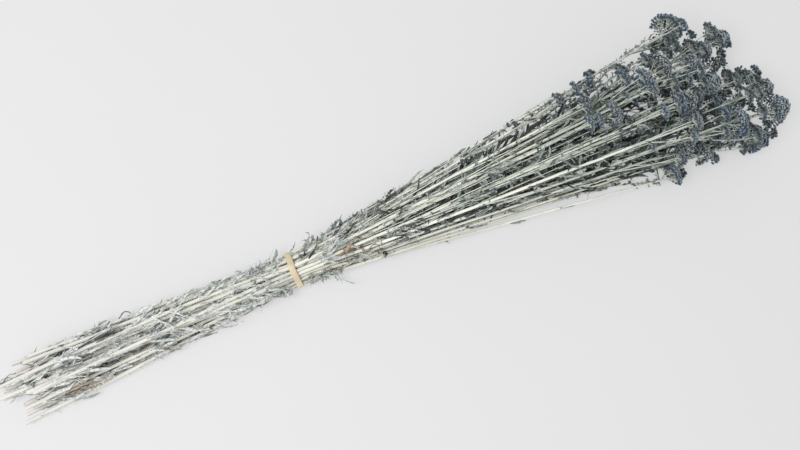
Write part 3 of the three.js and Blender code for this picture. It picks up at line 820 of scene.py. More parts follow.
def plantTree():
    tree, given, result = newTree("growYarrow", [
        ("Stalk Ribs", "Int", 5),
        ("Rib Depth", "Float", 0.08),
        ("Twig Sides", "Int", 3),
        ("Leaf Fold", "Float", 0.35),
        ("Size Spread", "Float", 0.15),
        ("Seed", "Int", 1),
        ("Stalk Skin", "Material", None),
        ("Leaf Skin", "Material", None),
        ("Twig Skin", "Material", None),
        ("Floret Skin", "Material", None),
        *[(label, "Object", None) for label in shapes],
    ])

    def read(name, kind):
        return outOf(addNode(tree, "GeometryNodeInputNamedAttribute", {"Name": name}, data_type=kind))

    def isSkin(number, how="EQUAL"):
        return outOf(addNode(tree, "FunctionNodeCompare", {0: read("skin", "INT"), 1: number},
                             data_type="INT", operation=how))

    def tube(selection, profile, flat=False):
        line = outOf(addNode(tree, "GeometryNodeMeshToCurve",
                             {"Mesh": given["Geometry"], "Selection": selection}))
        if flat:
            line = outOf(addNode(tree, "GeometryNodeSetCurveNormal", {"Curve": line}, mode="Z_UP"))
            line = outOf(addNode(tree, "GeometryNodeSetCurveTilt",
                                 {"Curve": line, "Tilt": read("turn", "FLOAT")}))
        return outOf(addNode(tree, "GeometryNodeCurveToMesh", {
            "Curve": line, "Profile Curve": profile, "Scale": read("girth", "FLOAT"), "Fill Caps": True,
        }))

    inner = outOf(addNode(tree, "ShaderNodeMath", {0: 1.0, 1: given["Rib Depth"]}, operation="SUBTRACT"))
    ribbed = outOf(addNode(tree, "GeometryNodeCurveStar", {
        "Points": given["Stalk Ribs"], "Inner Radius": inner, "Outer Radius": 1.0,
    }), "Curve")
    plain = outOf(addNode(tree, "GeometryNodeCurvePrimitiveCircle",
                          {"Resolution": given["Twig Sides"], "Radius": 1.0}))
    stalk = outOf(addNode(tree, "GeometryNodeSetShadeSmooth", {0: tube(isSkin(stalkKind), ribbed)}))
    angle = outOf(addNode(tree, "GeometryNodeInputMeshEdgeAngle"), "Unsigned Angle")
    corner = outOf(addNode(tree, "FunctionNodeCompare", {0: angle, 1: math.radians(65)},
                           operation="GREATER_THAN"))
    stalk = outOf(addNode(tree, "GeometryNodeSetShadeSmooth", {0: stalk, 1: corner, 2: False}, domain="EDGE"))
    twig = outOf(addNode(tree, "GeometryNodeSetShadeSmooth",
                         {0: tube(isSkin(leafKind, "GREATER_THAN"), plain)}))
    fold = given["Leaf Fold"]
    corners = [(-1, fold, 0), (0, -0.14, 0), (1, fold, 0), (0, 0.14, 0)]
    folded = outOf(addNode(tree, "GeometryNodeCurvePrimitiveQuadrilateral", {
        f"Point {k + 1}": outOf(addNode(tree, "ShaderNodeCombineXYZ", dict(enumerate(at))))
        for k, at in enumerate(corners)
    }, mode="POINTS"))
    leaf = outOf(addNode(tree, "GeometryNodeSetShadeSmooth",
                         {0: tube(isSkin(leafKind), folded, True), 2: False}))

    several = addNode(tree, "GeometryNodeJoinGeometry")
    for label in reversed(list(shapes)):  # the last one linked comes first
        shape = addNode(tree, "GeometryNodeObjectInfo", {"Object": given[label], "As Instance": True})
        tree.links.new(shape.outputs["Geometry"], several.inputs[0])
    placed = outOf(addNode(tree, "FunctionNodeCompare", {0: read("kind", "INT"), 1: 0}, data_type="INT",
                           operation="GREATER_EQUAL"))
    turn = outOf(addNode(tree, "FunctionNodeAxesToRotation", {
        "Primary Axis": read("heading", "FLOAT_VECTOR"), "Secondary Axis": read("facing", "FLOAT_VECTOR"),
    }, primary_axis="X", secondary_axis="Z"))
    least = outOf(addNode(tree, "ShaderNodeMath", {0: 1.0, 1: given["Size Spread"]}, operation="SUBTRACT"))
    most = outOf(addNode(tree, "ShaderNodeMath", {0: 1.0, 1: given["Size Spread"]}, operation="ADD"))
    chance = outOf(addNode(tree, "FunctionNodeRandomValue",
                           {"Min": least, "Max": most, "Seed": given["Seed"]}))
    size = outOf(addNode(tree, "ShaderNodeVectorMath", {0: read("span", "FLOAT_VECTOR"), "Scale": chance},
                         operation="SCALE"))
    small = outOf(addNode(tree, "GeometryNodeInstanceOnPoints", {
        "Points": given["Geometry"], "Selection": placed, "Instance": outOf(several), "Pick Instance": True,
        "Instance Index": read("kind", "INT"), "Rotation": turn, "Scale": size,
    }))

    whole = addNode(tree, "GeometryNodeJoinGeometry")
    for part in (stalk, leaf, twig, small):
        tree.links.new(part, whole.inputs[0])
    shown = outOf(addNode(tree, "GeometryNodeRealizeInstances", {"Geometry": outOf(whole)}))
    for number, label in ((stalkKind, "Stalk Skin"), (leafKind, "Leaf Skin"), (twigKind, "Twig Skin"),
                          (floretKind, "Floret Skin")):
        shown = outOf(addNode(tree, "GeometryNodeSetMaterial", {
            "Geometry": shown, "Selection": isSkin(number), "Material": given[label],
        }))
    tree.links.new(shown, result)
    return tree


growYarrow = plantTree()
print("plant tree built")


# A sprig gathers the lines and the small shapes of one piece, in millimetres, before the tree grows it

sprigFields = {
    "at": 3, "girth": 1, "turn": 1, "tone": 1, "tint": 1, "skin": 1, "kind": 1,
    "heading": 3, "facing": 3, "span": 3,
}


def newSprig():
    return {"rows": {name: [] for name in sprigFields}, "edges": [], "count": 0}


def addRows(sprig, count, **values):
    for name, width in sprigFields.items():
        value = np.asarray(values.get(name, 0), float)
        shape = (count, width) if width > 1 else (count,)
        sprig["rows"][name].append(np.broadcast_to(value, shape))
    sprig["count"] += count


def addStrand(sprig, points, girth, skin, tone=0.5, tint=0.0, turn=0.0):
    count, first = len(points), sprig["count"]
    sprig["edges"].append(np.column_stack([np.arange(count - 1), np.arange(1, count)]) + first)
    addRows(sprig, count, at=points, girth=girth, turn=turn, skin=skin, tone=tone, tint=tint, kind=-1)


def addShapes(sprig, points, heading, facing, span, kind, skin, tone=0.5, tint=0.0):
    span = np.asarray(span, float)
    if span.ndim < 2:
        span = np.repeat(np.broadcast_to(span, len(points))[:, None], 3, 1)
    addRows(sprig, len(points), at=points, heading=heading, facing=facing, span=span, kind=kind, skin=skin,
            tone=tone, tint=tint)


def growPiece(name, sprig, seed):
    rows = {field: np.concatenate(parts) for field, parts in sprig["rows"].items()}
    rows["at"] = (rows["at"] + shift) / 1000
    rows["girth"], rows["span"] = rows["girth"] / 1000, rows["span"] / 1000
    edges = np.concatenate(sprig["edges"])
    mesh = bpy.data.meshes.new(name)
    mesh.vertices.add(sprig["count"])
    mesh.vertices.foreach_set("co", rows["at"].ravel())
    mesh.edges.add(len(edges))
    mesh.edges.foreach_set("vertices", edges.ravel())
    for field in ("girth", "turn", "tone", "tint"):
        mesh.attributes.new(field, "FLOAT", "POINT").data.foreach_set("value", rows[field].astype(np.float32))
    for field in ("skin", "kind"):
        mesh.attributes.new(field, "INT", "POINT").data.foreach_set("value", rows[field].astype(np.int32))
    for field in ("heading", "facing", "span"):
        data = mesh.attributes.new(field, "FLOAT_VECTOR", "POINT").data
        data.foreach_set("vector", rows[field].astype(np.float32).ravel())
    values = {
        "Seed": seed, "Stalk Skin": stalkSkin, "Leaf Skin": leafSkin, "Twig Skin": twigSkin,
        "Floret Skin": floretSkin, **shapes,
    }
    return grown(name, mesh, growYarrow, values)


# Room among the stems

stemPaths = np.array([stem["path"] for stem in stems])
stemGirths = np.array([stem["girth"] for stem in stems])
stemFeet = np.array([stem["foot"] for stem in stems])
stemEnds = np.array([stem["base"][0] for stem in stems])


def centresAt(alongs):
    k = np.clip(np.searchsorted(stations, alongs, side="left") - 1, 0, len(stations) - 2)
    share = ((alongs - stations[k]) / (stations[k + 1] - stations[k]))[None, :, None]
    return stemPaths[:, k] + (stemPaths[:, k + 1] - stemPaths[:, k]) * share


def keepOff(points, room, rounds=5):  # moves points out of every stalk and off the table
    points = points.copy()
    for _ in range(rounds):
        off = points[None, :, 1:] - centresAt(points[:, 0])
        apart = np.sqrt((off ** 2).sum(2)) + 1e-9
        need = stalkRadius(stemGirths[:, None], points[:, 0]) + room
        live = (points[None, :, 0] > stemFeet[:, None]) & (points[None, :, 0] < stemEnds[:, None])
        short = np.where(live, need - apart, 0)
        worst = short.argmax(0)
        at = np.arange(len(points))
        step = np.maximum(short[worst, at], 0)
        points[:, 1:] += off[worst, at] / apart[worst, at][:, None] * step[:, None]
        points[:, 2] = np.maximum(points[:, 2], room + 0.2)
    return points


def outlineAt(alongs):  # where the outermost stems are on either side, and how high the lowest lies
    across, height = np.moveaxis(centresAt(alongs), 2, 0)
    live = (alongs[None] > stemFeet[:, None] - 6) & (alongs[None] < stemEnds[:, None])
    low, high = np.where(live, across, 99).min(0), np.where(live, across, -99).max(0)
    under = np.where(live, height, 99).min(0)
    bare = ~live.any(0)
    low[bare], high[bare], under[bare] = -99, 99, 0
    return low, high, under


# Where the leafy mass ends in the fan: past it the outermost stems run nearly bare
leafyEdge = {
    "along": (298, 300, 362, 398, 434, 470, 503, 537, 580),
    "across": (-99, -14, -15, -19, -22, -27, -35, -43, -62),
    "bareFrom": 2.5,
    "leavesLeft": 0.35,
}


def pastEdge(stem, alongs):  # how far the stem runs past the leafy mass
    centres = np.array([centreAt(stem, x)[1] for x in alongs])
    return np.interp(alongs, leafyEdge["along"], leafyEdge["across"]) - centres


def heldIn(points, slack):  # keeps points between the outermost stems, and not far below the lowest
    low, high, under = outlineAt(points[:, 0])
    low = np.maximum(low, np.interp(points[:, 0], leafyEdge["along"], leafyEdge["across"]))
    points[:, 1] = np.clip(points[:, 1], low - slack, high + slack)
    points[:, 2] = np.maximum(points[:, 2], under - slack - 1.5)
    return points


def units(v):
    return v / np.maximum(np.sqrt((v ** 2).sum(-1, keepdims=True)), 1e-9)


def turned(one, other, angle):  # both turn by the angle in their own plane
    c, s = np.cos(angle)[:, None], np.sin(angle)[:, None]
    return one * c + other * s, other * c - one * s


def stemDirections(stem, alongs):
    ahead = np.array([centreAt(stem, x + 8) for x in alongs])
    behind = np.array([centreAt(stem, x - 8) for x in alongs])
    forward = units(ahead - behind)
    side = units(np.cross(vec(0, 0, 1), forward))
    return forward, side, np.cross(forward, side)


# Leaves: a rib that leaves its stem, arches and curls as it dries, with a row of leaflets on either side

leafPlan = {
    "sway": 16.0,  # degrees from one step to the next
    "lift": (0.45, 0.55),  # how far leaflets fold up from the rib, and how unevenly
    "bandRoom": 3.2,
    "looseShare": 0.12,
    "lean": ((1.0, 12.0), (16.0, 42.0)),  # degrees off the stem: pressed to it, and loose
    "curl": ((-25.0, 50.0), (30.0, 190.0)),  # degrees over the whole length
    "shade": (0.74, 0.24),
    "buried": (0.55, 0.72, 0.9),  # painted shade: how much darker a leaf is under three stems: feet, start of the fan, heads
    "clumps": 0.7,  # the smaller, the more unevenly the leaves follow one another
    "old": (0.04, 0.14),  # share of dark old leaves: at the band and below it, and in the fan
    "twist": 0.6,  # radians that a leaf is turned about its own line, and how much that changes at each step
    "crumple": 0.7,
    "astray": 0.05,  # share of the leaves that stick out past the outermost stems
}

# What changes along a stem: spacing of the leaves, their length and half width, blades and leaflets on them,
# how straight they lie (calm 1 is the full lean, curl and sway) and how many of them grow upwards
leafKinds = {
    "foot": {"spacing": 6.5, "length": (20.0, 42.0), "wide": 1.25, "blades": 2, "blade": 4.6, "slim": 0.5,
             "leaflets": 3, "leaflet": (1.4, 2.6), "angle": (6, 24), "calm": 0.38, "loose": 0.05,
             "upward": 0.3, "steps": 6},
    "stalk": {"spacing": 7.0, "length": (18.0, 36.0), "wide": 1.1, "blades": 2, "blade": 4.4, "slim": 0.55,
              "leaflets": 4, "leaflet": (1.6, 2.8), "angle": (10, 38), "calm": 0.65, "loose": 0.9,
             "upward": 0.35, "steps": 6},
    "fan": {"spacing": 9.0, "length": (12.0, 28.0), "wide": 0.9, "blades": 1, "blade": 4.0, "slim": 0.60,
            "leaflets": 4, "leaflet": (1.5, 2.6), "angle": (18, 52), "calm": 0.9, "loose": 1.3,
            "upward": 1.0, "steps": 5},
    "scrap": {"spacing": 8.0, "length": (6.0, 13.0), "wide": 0.65, "blades": 1, "blade": 3.0, "slim": 0.65,
              "leaflets": 2, "leaflet": (1.4, 2.2), "angle": (20, 55), "calm": 1.0, "loose": 1.0,
              "upward": 1.0, "steps": 4},
}
leafyStart = 125.0
fanStart = 335.0

# Where leaves have gone rusty: along, across, reach
rustSpots = [(281, -6, 12), (302, -8, 12), (323, -8, 10), (54, -20, 13), (99, -15, 12), (119, -14, 10)]


# Where leaves have stayed dark: along, across, reach
darkSpots = [(350, 16, 14), (352, 8, 10), (392, -7, 20), (408, -3, 14), (372, -10, 14), (95, 8, 9),
             (60, 10, 10)]


def darkAt(points, rng):
    dark = np.zeros(len(points))
    for along, across, reach in darkSpots:
        gap = np.hypot(points[:, 0] - along, (points[:, 1] - across) * 2.5)
        dark = np.maximum(dark, np.where(rng.random(len(points)) < 0.8, np.clip(1.6 - gap / reach, 0, 1), 0))
    return dark


def buriedShare(points):  # 0 on top of the bunch, 1 where three stems or more lie above; it also sets the painted shade of leaves and stalks
    centres = centresAt(points[:, 0])
    above = (centres[..., 1] > points[None, :, 2] + 1.0) & (np.abs(centres[..., 0] - points[None, :, 1]) < 6)
    live = (points[None, :, 0] > stemFeet[:, None]) & (points[None, :, 0] < stemEnds[:, None])
    return np.clip((above & live).sum(0) / 3, 0, 1)


def growRibs(roots, forward, away, length, lean, curl, rng, calm=1.0, steps=6):
    heading = forward * np.cos(lean)[:, None] + away * np.sin(lean)[:, None]
    normal = away * np.cos(lean)[:, None] - forward * np.sin(lean)[:, None]
    sway = math.radians(leafPlan["sway"]) * calm
    points, normals = [roots], [normal]
    for k in range(steps):
        weight = 2 * (k + 1) / (steps + 1) / steps
        heading, normal = turned(heading, normal, curl * weight + sway * rng.normal(size=len(roots)))
        side = np.cross(heading, normal)
        heading, side = turned(heading, side, sway * rng.normal(size=len(roots)))
        normal = np.cross(side, heading)
        points.append(points[-1] + heading * (length / steps)[:, None])
        normals.append(normal)
    return np.stack(points, 1), np.stack(normals, 1)


def alongRib(paths, normals, shares):
    at = shares * (paths.shape[1] - 1)
    k = np.minimum(at.astype(int), paths.shape[1] - 2)
    part = (at - k)[None, :, None]
    spots = paths[:, k] * (1 - part) + paths[:, k + 1] * part
    tangent = units(paths[:, k + 1] - paths[:, k])
    normal = units(normals[:, k] - (normals[:, k] * tangent).sum(2, keepdims=True) * tangent)
    return spots, tangent, normal


def slimmed(size, slim):
    return np.column_stack([size, size * slim, size])


def addBlades(sprig, paths, normals, tone, tint, look, rng):  # broad crumpled pieces that hide the rib
    count = look["blades"]
    spots, tangent, normal = alongRib(paths, normals, (np.arange(count) + 0.1) / count)
    heading = tangent + 0.28 * rng.normal(size=tangent.shape)
    facing = normal + 1.0 * rng.normal(size=normal.shape)
    size = look["blade"] * rng.uniform(0.75, 1.25, spots.shape[:2])
    kind = np.where(rng.random(size.shape) < 0.6, flatLeaflet, curledLeaflet)
    shade = np.clip(tone[:, None] + rng.normal(0, 0.18, size.shape), 0, 1)
    rust = np.broadcast_to(tint[:, None], size.shape)
    addShapes(sprig, spots.reshape(-1, 3), heading.reshape(-1, 3), facing.reshape(-1, 3),
              slimmed(size.ravel(), look["slim"]), kind.ravel(), leafKind, shade.ravel(), rust.ravel())


def dressRibs(sprig, paths, normals, tone, tint, look, rng):
    count, reach = look["leaflets"], rng.uniform(*look["leaflet"], len(paths))
    shares = (np.arange(count) + 0.6) / count
    spots, tangent, normal = alongRib(paths, normals, shares)
    side = np.cross(tangent, normal)
    size = reach[:, None] * np.sin(math.pi * np.clip(shares, 0.16, 0.90)) ** 0.45
    for sign in (1, -1):
        angle = np.radians(rng.uniform(*look["angle"], size.shape))[..., None]
        lift = rng.normal(*leafPlan["lift"], size.shape)[..., None]
        heading = units(tangent * np.cos(angle) + side * np.sin(angle) * sign + normal * lift)
        facing = normal + 0.6 * rng.normal(size=normal.shape)
        shown = size * rng.uniform(0.75, 1.2, size.shape)
        kind = np.where(rng.random(size.shape) < 0.25, flatLeaflet, curledLeaflet)
        shade = np.clip(tone[:, None] + rng.normal(0, 0.18, size.shape), 0, 1)
        rust = np.broadcast_to(tint[:, None], size.shape)
        addShapes(sprig, spots.reshape(-1, 3), heading.reshape(-1, 3), facing.reshape(-1, 3),
                  slimmed(shown.ravel(), look["slim"] + 0.1), kind.ravel(), leafKind, shade.ravel(),
                  rust.ravel())


def addLeaves(sprig, paths, normals, tone, tint, look, rng):
    shares = np.linspace(0, 1, paths.shape[1])
    swell = np.sin(math.pi * np.clip(shares, 0.12, 0.94)) ** 0.6
    for path, shade, rust in zip(paths, tone, tint):
        count = len(path)
        wide = look["wide"] * swell * rng.uniform(0.45, 1.5, count)
        turn = (rng.normal(0, leafPlan["twist"])
                + np.cumsum(np.clip(rng.normal(0, leafPlan["crumple"], count), -0.9, 0.9)))
        addStrand(sprig, path, wide, leafKind, np.clip(shade + rng.normal(0, 0.12, count), 0, 1), rust, turn)
    addBlades(sprig, paths, normals, tone, tint, look, rng)
    dressRibs(sprig, paths, normals, tone, tint, look, rng)


def rustAt(points, rng):
    rust = np.zeros(len(points))
    for along, across, reach in rustSpots:
        gap = np.hypot(points[:, 0] - along, (points[:, 1] - across) * 2.5)
        rust = np.maximum(rust,
                          np.where(rng.random(len(points)) < 0.6, np.clip(1.4 - gap / reach, 0, 0.7), 0))
    return rust


def offBand(paths):  # the leaves that don't cross the rubber band
    clear = (np.abs(paths[:, :, 0] - growth["bandAlong"]) > leafPlan["bandRoom"]).all(1)
    return clear & ((paths[:, 0, 0] > growth["bandAlong"]) | (paths[:, -1, 0] < growth["bandAlong"]))


def shadeUnderStems(paths):  # painted shade: how light a leaf stays with stems above it
    middles = paths[:, paths.shape[1] // 2]
    return 1 - np.interp(middles[:, 0], (100, 400, 540), leafPlan["buried"]) * buriedShare(middles)


def leavesOnLine(sprig, roots, forward, away, look, rng, loose=None, held=True, shade=None):
    plan, count = leafPlan, len(roots)
    if loose is None:
        loose = rng.random(count) < plan["looseShare"] * look["loose"]
    lean = np.where(loose, rng.uniform(*plan["lean"][1], count), rng.uniform(*plan["lean"][0], count))
    curl = np.where(loose, rng.uniform(*plan["curl"][1], count), rng.uniform(*plan["curl"][0], count))
    length = rng.uniform(*look["length"], count) * np.where(loose, 0.62, 1)
    calm = np.where(loose, 1, look["calm"])
    lean, curl = np.radians(lean * calm), np.radians(curl * calm)
    paths, normals = growRibs(roots, forward, away, length, lean, curl, rng, look["calm"], look["steps"])
    shape = paths.shape
    free = keepOff(paths[:, 1:].reshape(-1, 3), 0.5)
    astray = rng.random(count) < (plan["astray"] * look["loose"] if held else 1)
    free = np.where(np.repeat(astray, shape[1] - 1)[:, None], free, heldIn(free.copy(), 0.5))
    paths = np.concatenate([paths[:, :1], free.reshape(count, shape[1] - 1, 3)], 1)
    # the leaf's own random tone, with painted shade where other stems lie above it
    tone = rng.normal(*plan["shade"], count) * shadeUnderStems(paths) * (1 - darkAt(paths[:, shape[1] // 2], rng))
    old = rng.random(count) < np.interp(roots[:, 0], (250, 330), plan["old"])
    tone[old & ~astray] = 0.03
    if shade is not None:
        tone = rng.normal(shade, 0.12, count)
    tone = np.clip(tone, 0.02, 1)
    keep = offBand(paths)
    addLeaves(sprig, paths[keep], normals[keep], tone[keep], rustAt(roots, rng)[keep], look, rng)


def stemLeaves(sprig, stem, start, end, look, rng):
    clumps = leafPlan["clumps"]
    alongs = start + np.cumsum(rng.gamma(clumps, look["spacing"] / clumps,
                                         int((end - start) / look["spacing"] * 2)))
    alongs = alongs[alongs < end]
    if not len(alongs):
        return
    bare = pastEdge(stem, alongs) > leafyEdge["bareFrom"]
    alongs = alongs[~bare | (rng.random(len(alongs)) < leafyEdge["leavesLeft"])]
    if not len(alongs):
        return
    forward, side, over = stemDirections(stem, alongs)
    turn = np.arange(len(alongs)) * 2.4 + stem["index"] + rng.normal(0, 0.5, len(alongs))
    upward = np.sin(turn) * np.where(np.sin(turn) > 0, look["upward"], 1)
    away = units(side * np.cos(turn)[:, None] + over * upward[:, None])
    centres = np.array([centreAt(stem, x) for x in alongs])
    roots = centres + away * (stalkRadius(stem["girth"], alongs) * 0.85)[:, None]
    leavesOnLine(sprig, roots, forward, away, look, rng)


def plannedLeaves(sprig, stem, rng):  # the leaves that the CAD node has, finely cut
    if not stem["leaves"]:
        return
    shares = np.linspace(0, 1, 7)
    paths = np.array([[leaf["point"](share, 0) for share in shares] for leaf in stem["leaves"]])
    ahead = units(np.gradient(paths, axis=1))
    normals = np.cross(ahead, np.array([leaf["flat"] for leaf in stem["leaves"]])[:, None])
    count = len(paths)
    # painted shade where other stems lie above the leaf
    tone = rng.uniform(0.3, 0.75, count) * shadeUnderStems(paths)
    addLeaves(sprig, paths, normals, tone, rustAt(paths[:, 0], rng), {**leafKinds["foot"], "slim": 0.8}, rng)


# Stalks

stalkPlan = {
    "step": 14.0,
    "sway": 0.22,
    "footTaper": 0.9,
    "knot": 1.12,
    "knotEvery": 37.0,
    # painted shade: how much darker a stalk is under three others: feet, start of the fan, heads
    "buried": (0.4, 0.55, 0.78),
    "smooth": (-12, -6, 0, 6, 12),
    "cut": (0.2, 0.9),  # slope of the slanting cuts at the feet
}


def smoothCentre(stem, along):
    rows = np.array([centreAt(stem, along + off) for off in stalkPlan["smooth"]])
    return vec(along, *rows[:, 1:].mean(0))


def stalkStrand(sprig, stem, start, end, rng, tone):
    knots = np.arange(stem["foot"] + 20 + rng.uniform(0, 20), end, stalkPlan["knotEvery"])
    places = np.unique(np.concatenate([
        [start, start + 1.5, end], np.arange(start + 5, end - 3, stalkPlan["step"]),
        *[[k - 1.6, k, k + 1.6] for k in knots if start + 6 < k < end - 6],
    ]))
    points = np.array([smoothCentre(stem, x) for x in places])
    wave = rng.uniform(0, 6.28, 2)
    points[:, 1] += stalkPlan["sway"] * np.sin(places / 17 + wave[0])
    points[:, 2] += stalkPlan["sway"] * np.sin(places / 21 + wave[1])
    girth = stalkRadius(stem["girth"], places)
    girth = np.where(np.isin(places, knots), girth * stalkPlan["knot"], girth)
    if start == stem["foot"]:
        girth[0] *= stalkPlan["footTaper"]
    # painted shade: the stalk darkens where other stems lie above it, on top of its own tone
    shade = (0.2 * tone + (0.95 - 0.2 * tone) * np.interp(places, (120, 400, 540), stalkPlan["buried"])
             * buriedShare(points))
    addStrand(sprig, points, girth, stalkKind, shade)


def cutFoot(piece, stem, rng):  # the foot's flat end becomes a slanting cut
    mesh = piece.data
    points = np.empty(len(mesh.vertices) * 3, np.float32)
    mesh.vertices.foreach_get("co", points)
    points = points.reshape(-1, 3)
    centre = (smoothCentre(stem, stem["foot"]) + shift) / 1000
    radius = stalkRadius(stem["girth"], stem["foot"]) / 1000
    off = points - centre
    end = (np.abs(off[:, 0]) < 0.0008) & (np.hypot(off[:, 1], off[:, 2]) < radius * 1.2)
    turn, slope = rng.uniform(0, 6.28), rng.uniform(*stalkPlan["cut"])
    points[end, 0] += slope * (radius + off[end, 1] * math.cos(turn) + off[end, 2] * math.sin(turn))
    mesh.vertices.foreach_set("co", points.ravel())
    mesh.update()


# Flower heads

headPlan = {
    "flowerRadius": 1.05,
    "cover": 1.0,
    "fullness": 1.1,
    "dome": 0.42,
    "unevenness": 0.6,
    "rayGirth": 0.40,
    "forkGirth": 0.28,
    "stalkletGirth": 0.19,
    "forkAt": 0.45,
    "floorRoom": 1.0,
    "openShare": 0.50,
    "blueShare": 0.30,
    "reach": 1.02,  # edge of the dome, as a share of half the head's width
    "hold": 1.6,  # how far from a ray's tip its flowers stand, in florets
}


def bowed(start, end, axis, amount, count=5):
    shares = np.linspace(0, 1, count)[:, None]
    return start + (end - start) * shares - axis * amount * math.dist(start, end) * np.sin(math.pi * shares)


# a ray, its forks and its flowers
def raiseFlowers(sprig, root, tip, axis, flowers, heading, rng, tone, tint):
    plan = headPlan
    count, along = len(flowers), unit(tip - root)
    side, over = sideways(along)
    flowers[:, 2] = np.maximum(flowers[:, 2], plan["floorRoom"])
    fork = root + (tip - root) * plan["forkAt"]
    ray = bowed(root, fork, axis, 0.06, 4)
    pale = tone * 0.3 + 0.52
    addStrand(sprig, ray, np.linspace(plan["rayGirth"] * 1.1, plan["rayGirth"] * 0.85, len(ray)), twigKind,
              pale + 0.2)
    groups = max(3, round(count / 5))
    turn = np.arctan2((flowers - tip) @ over, (flowers - tip) @ side)
    share = (turn / (2 * math.pi) + 0.5) * groups
    for g in range(groups):
        mine = np.nonzero(np.minimum(share.astype(int), groups - 1) == g)[0]
        if not len(mine):
            continue
        feet = flowers[mine] - heading[mine] * 1.6
        knee = fork + (feet.mean(0) - fork) * 0.5
        addStrand(sprig, bowed(fork, knee, along, 0.05, 3), plan["forkGirth"], twigKind, pale)
        for foot in feet:
            addStrand(sprig, np.array([knee, foot]), plan["stalkletGirth"], twigKind, pale)
    size = 2 * plan["flowerRadius"] * rng.uniform(0.82, 1.14, count)
    kind = np.where(rng.random(count) < plan["openShare"], openFlower, shutFlower)
    shade = np.clip(tone + rng.normal(0, 0.34, count), 0, 1)
    addShapes(sprig, flowers, heading, side, size, kind, floretKind, shade, tint)


def addCluster(sprig, root, tip, floret, axis, rng, tone, tint):  # a small umbel on one ray
    plan = headPlan
    floret = floret * plan["fullness"]
    along = unit(tip - root)
    side, over = sideways(along)
    count = max(5, round(plan["cover"] * (floret / plan["flowerRadius"]) ** 2))
    k = np.arange(count)
    out = 0.97 * np.sqrt((k + 0.5) / count)
    turn = k * 2.39996 + rng.uniform(0, 6.28)
    radial = side * np.cos(turn)[:, None] + over * np.sin(turn)[:, None]
    radial += rng.normal(0, 0.08, radial.shape)
    lift = floret * (0.16 - plan["dome"] * out ** 2) + rng.normal(0, plan["unevenness"], count)
    flowers = tip + radial * (out * floret)[:, None] + along * lift[:, None]
    heading = units(along + radial * (0.6 * out)[:, None] + 0.2 * rng.normal(size=radial.shape))
    raiseFlowers(sprig, root, tip, axis, flowers, heading, rng, tone, tint)


def addBracts(sprig, base, axis, count, rng):
    side, over = sideways(axis)
    turn = np.arange(count) * 2.4 + rng.uniform(0, 6)
    away = side * np.cos(turn)[:, None] + over * np.sin(turn)[:, None]
    roots = base + axis * rng.uniform(-8, 1, count)[:, None] + away * 0.6
    roots[:, 2] = np.maximum(roots[:, 2], 0.6)
    forward = np.broadcast_to(axis, away.shape)
    leavesOnLine(sprig, roots, forward, away, leafKinds["scrap"], rng, rng.random(count) < 0.4)


def addHead(sprig, stem, rng):  # the flowers of all its rays lie on one dome
    plan = headPlan
    base, axis, umbel = stem["base"], stem["axis"], stem["umbel"]
    tone, tint = rng.uniform(0.08, 0.82), 0.75 if rng.random() < plan["blueShare"] else 0.0
    roots = [base] + [root for root, tip, floret in stem["rays"]]
    tips = np.array([umbel["tip"]] + [tip for root, tip, floret in stem["rays"]])
    high = (tips - base) @ axis
    wide = np.sqrt(((tips - base - np.outer(high, axis)) ** 2).sum(1))
    drop = (high[0] - high[1:].mean()) / wide[1:].mean() ** 2
    reach = stem["width"] / 2 * plan["reach"]
    count = round(plan["cover"] * (reach / plan["flowerRadius"]) ** 2)
    k = np.arange(count)
    out = reach * np.sqrt((k + 0.5) / count)
    turn = k * 2.39996 + rng.uniform(0, 6.28)
    side, over = sideways(axis)
    radial = side * np.cos(turn)[:, None] + over * np.sin(turn)[:, None]
    heading = units(axis + radial * (2 * drop * out)[:, None] + 0.18 * rng.normal(size=radial.shape))
    flowers = base + axis * (high[0] - drop * out ** 2)[:, None] + radial * out[:, None]
    flowers += heading * rng.normal(0, plan["unevenness"], count)[:, None]
    apart = np.sqrt(((flowers[:, None] - tips[None]) ** 2).sum(2))
    nearest = apart.argmin(1)
    held = apart.min(1) < umbel["floret"] * plan["hold"]
    for number, (root, tip) in enumerate(zip(roots, tips)):
        mine = held & (nearest == number)
        if mine.any():
            shade = np.clip(tone + rng.normal(0, 0.12), 0, 1)
            raiseFlowers(sprig, root, tip, axis, flowers[mine], heading[mine], rng, shade,
                         tint * rng.uniform(0.4, 1))
    addBracts(sprig, base, axis, 3, rng)


def addSideBranch(sprig, branch, rng):
    root, knee, base = branch["points"]
    axis = unit(base - knee)
    shares = np.linspace(0, 1, 9)[:, None]
    line = root * (1 - shares) ** 2 + knee * 2 * shares * (1 - shares) + base * shares ** 2
    addStrand(sprig, line, np.linspace(0.62, 0.45, 9), twigKind, 0.75)
    tone, tint = rng.uniform(0.2, 0.8), 0.6 if rng.random() < headPlan["blueShare"] else 0.0
    addCluster(sprig, base, branch["tip"], branch["floret"], axis, rng, tone, tint)
    addBracts(sprig, line[5], axis, 2, rng)


# Painted shade: near-black leaf ribbons in the depth of the fan, where the stems stand apart, stand for the
# shade there

shadeLeafPlan = {
    "start": 330.0,
    "end": 655.0,
    "spacing": 8.0,
    "length": (24.0, 50.0),
    "wide": (1.1, 2.1),
    "lean": (2, 22),
    "curl": (-30, 30),
    "buried": 0.3,  # the least that their roots and their whole length lie under other stems
    "covered": 0.32,
    # near black: the painted shade of the fan's depth
    "shade": (0.0, 0.13),
}


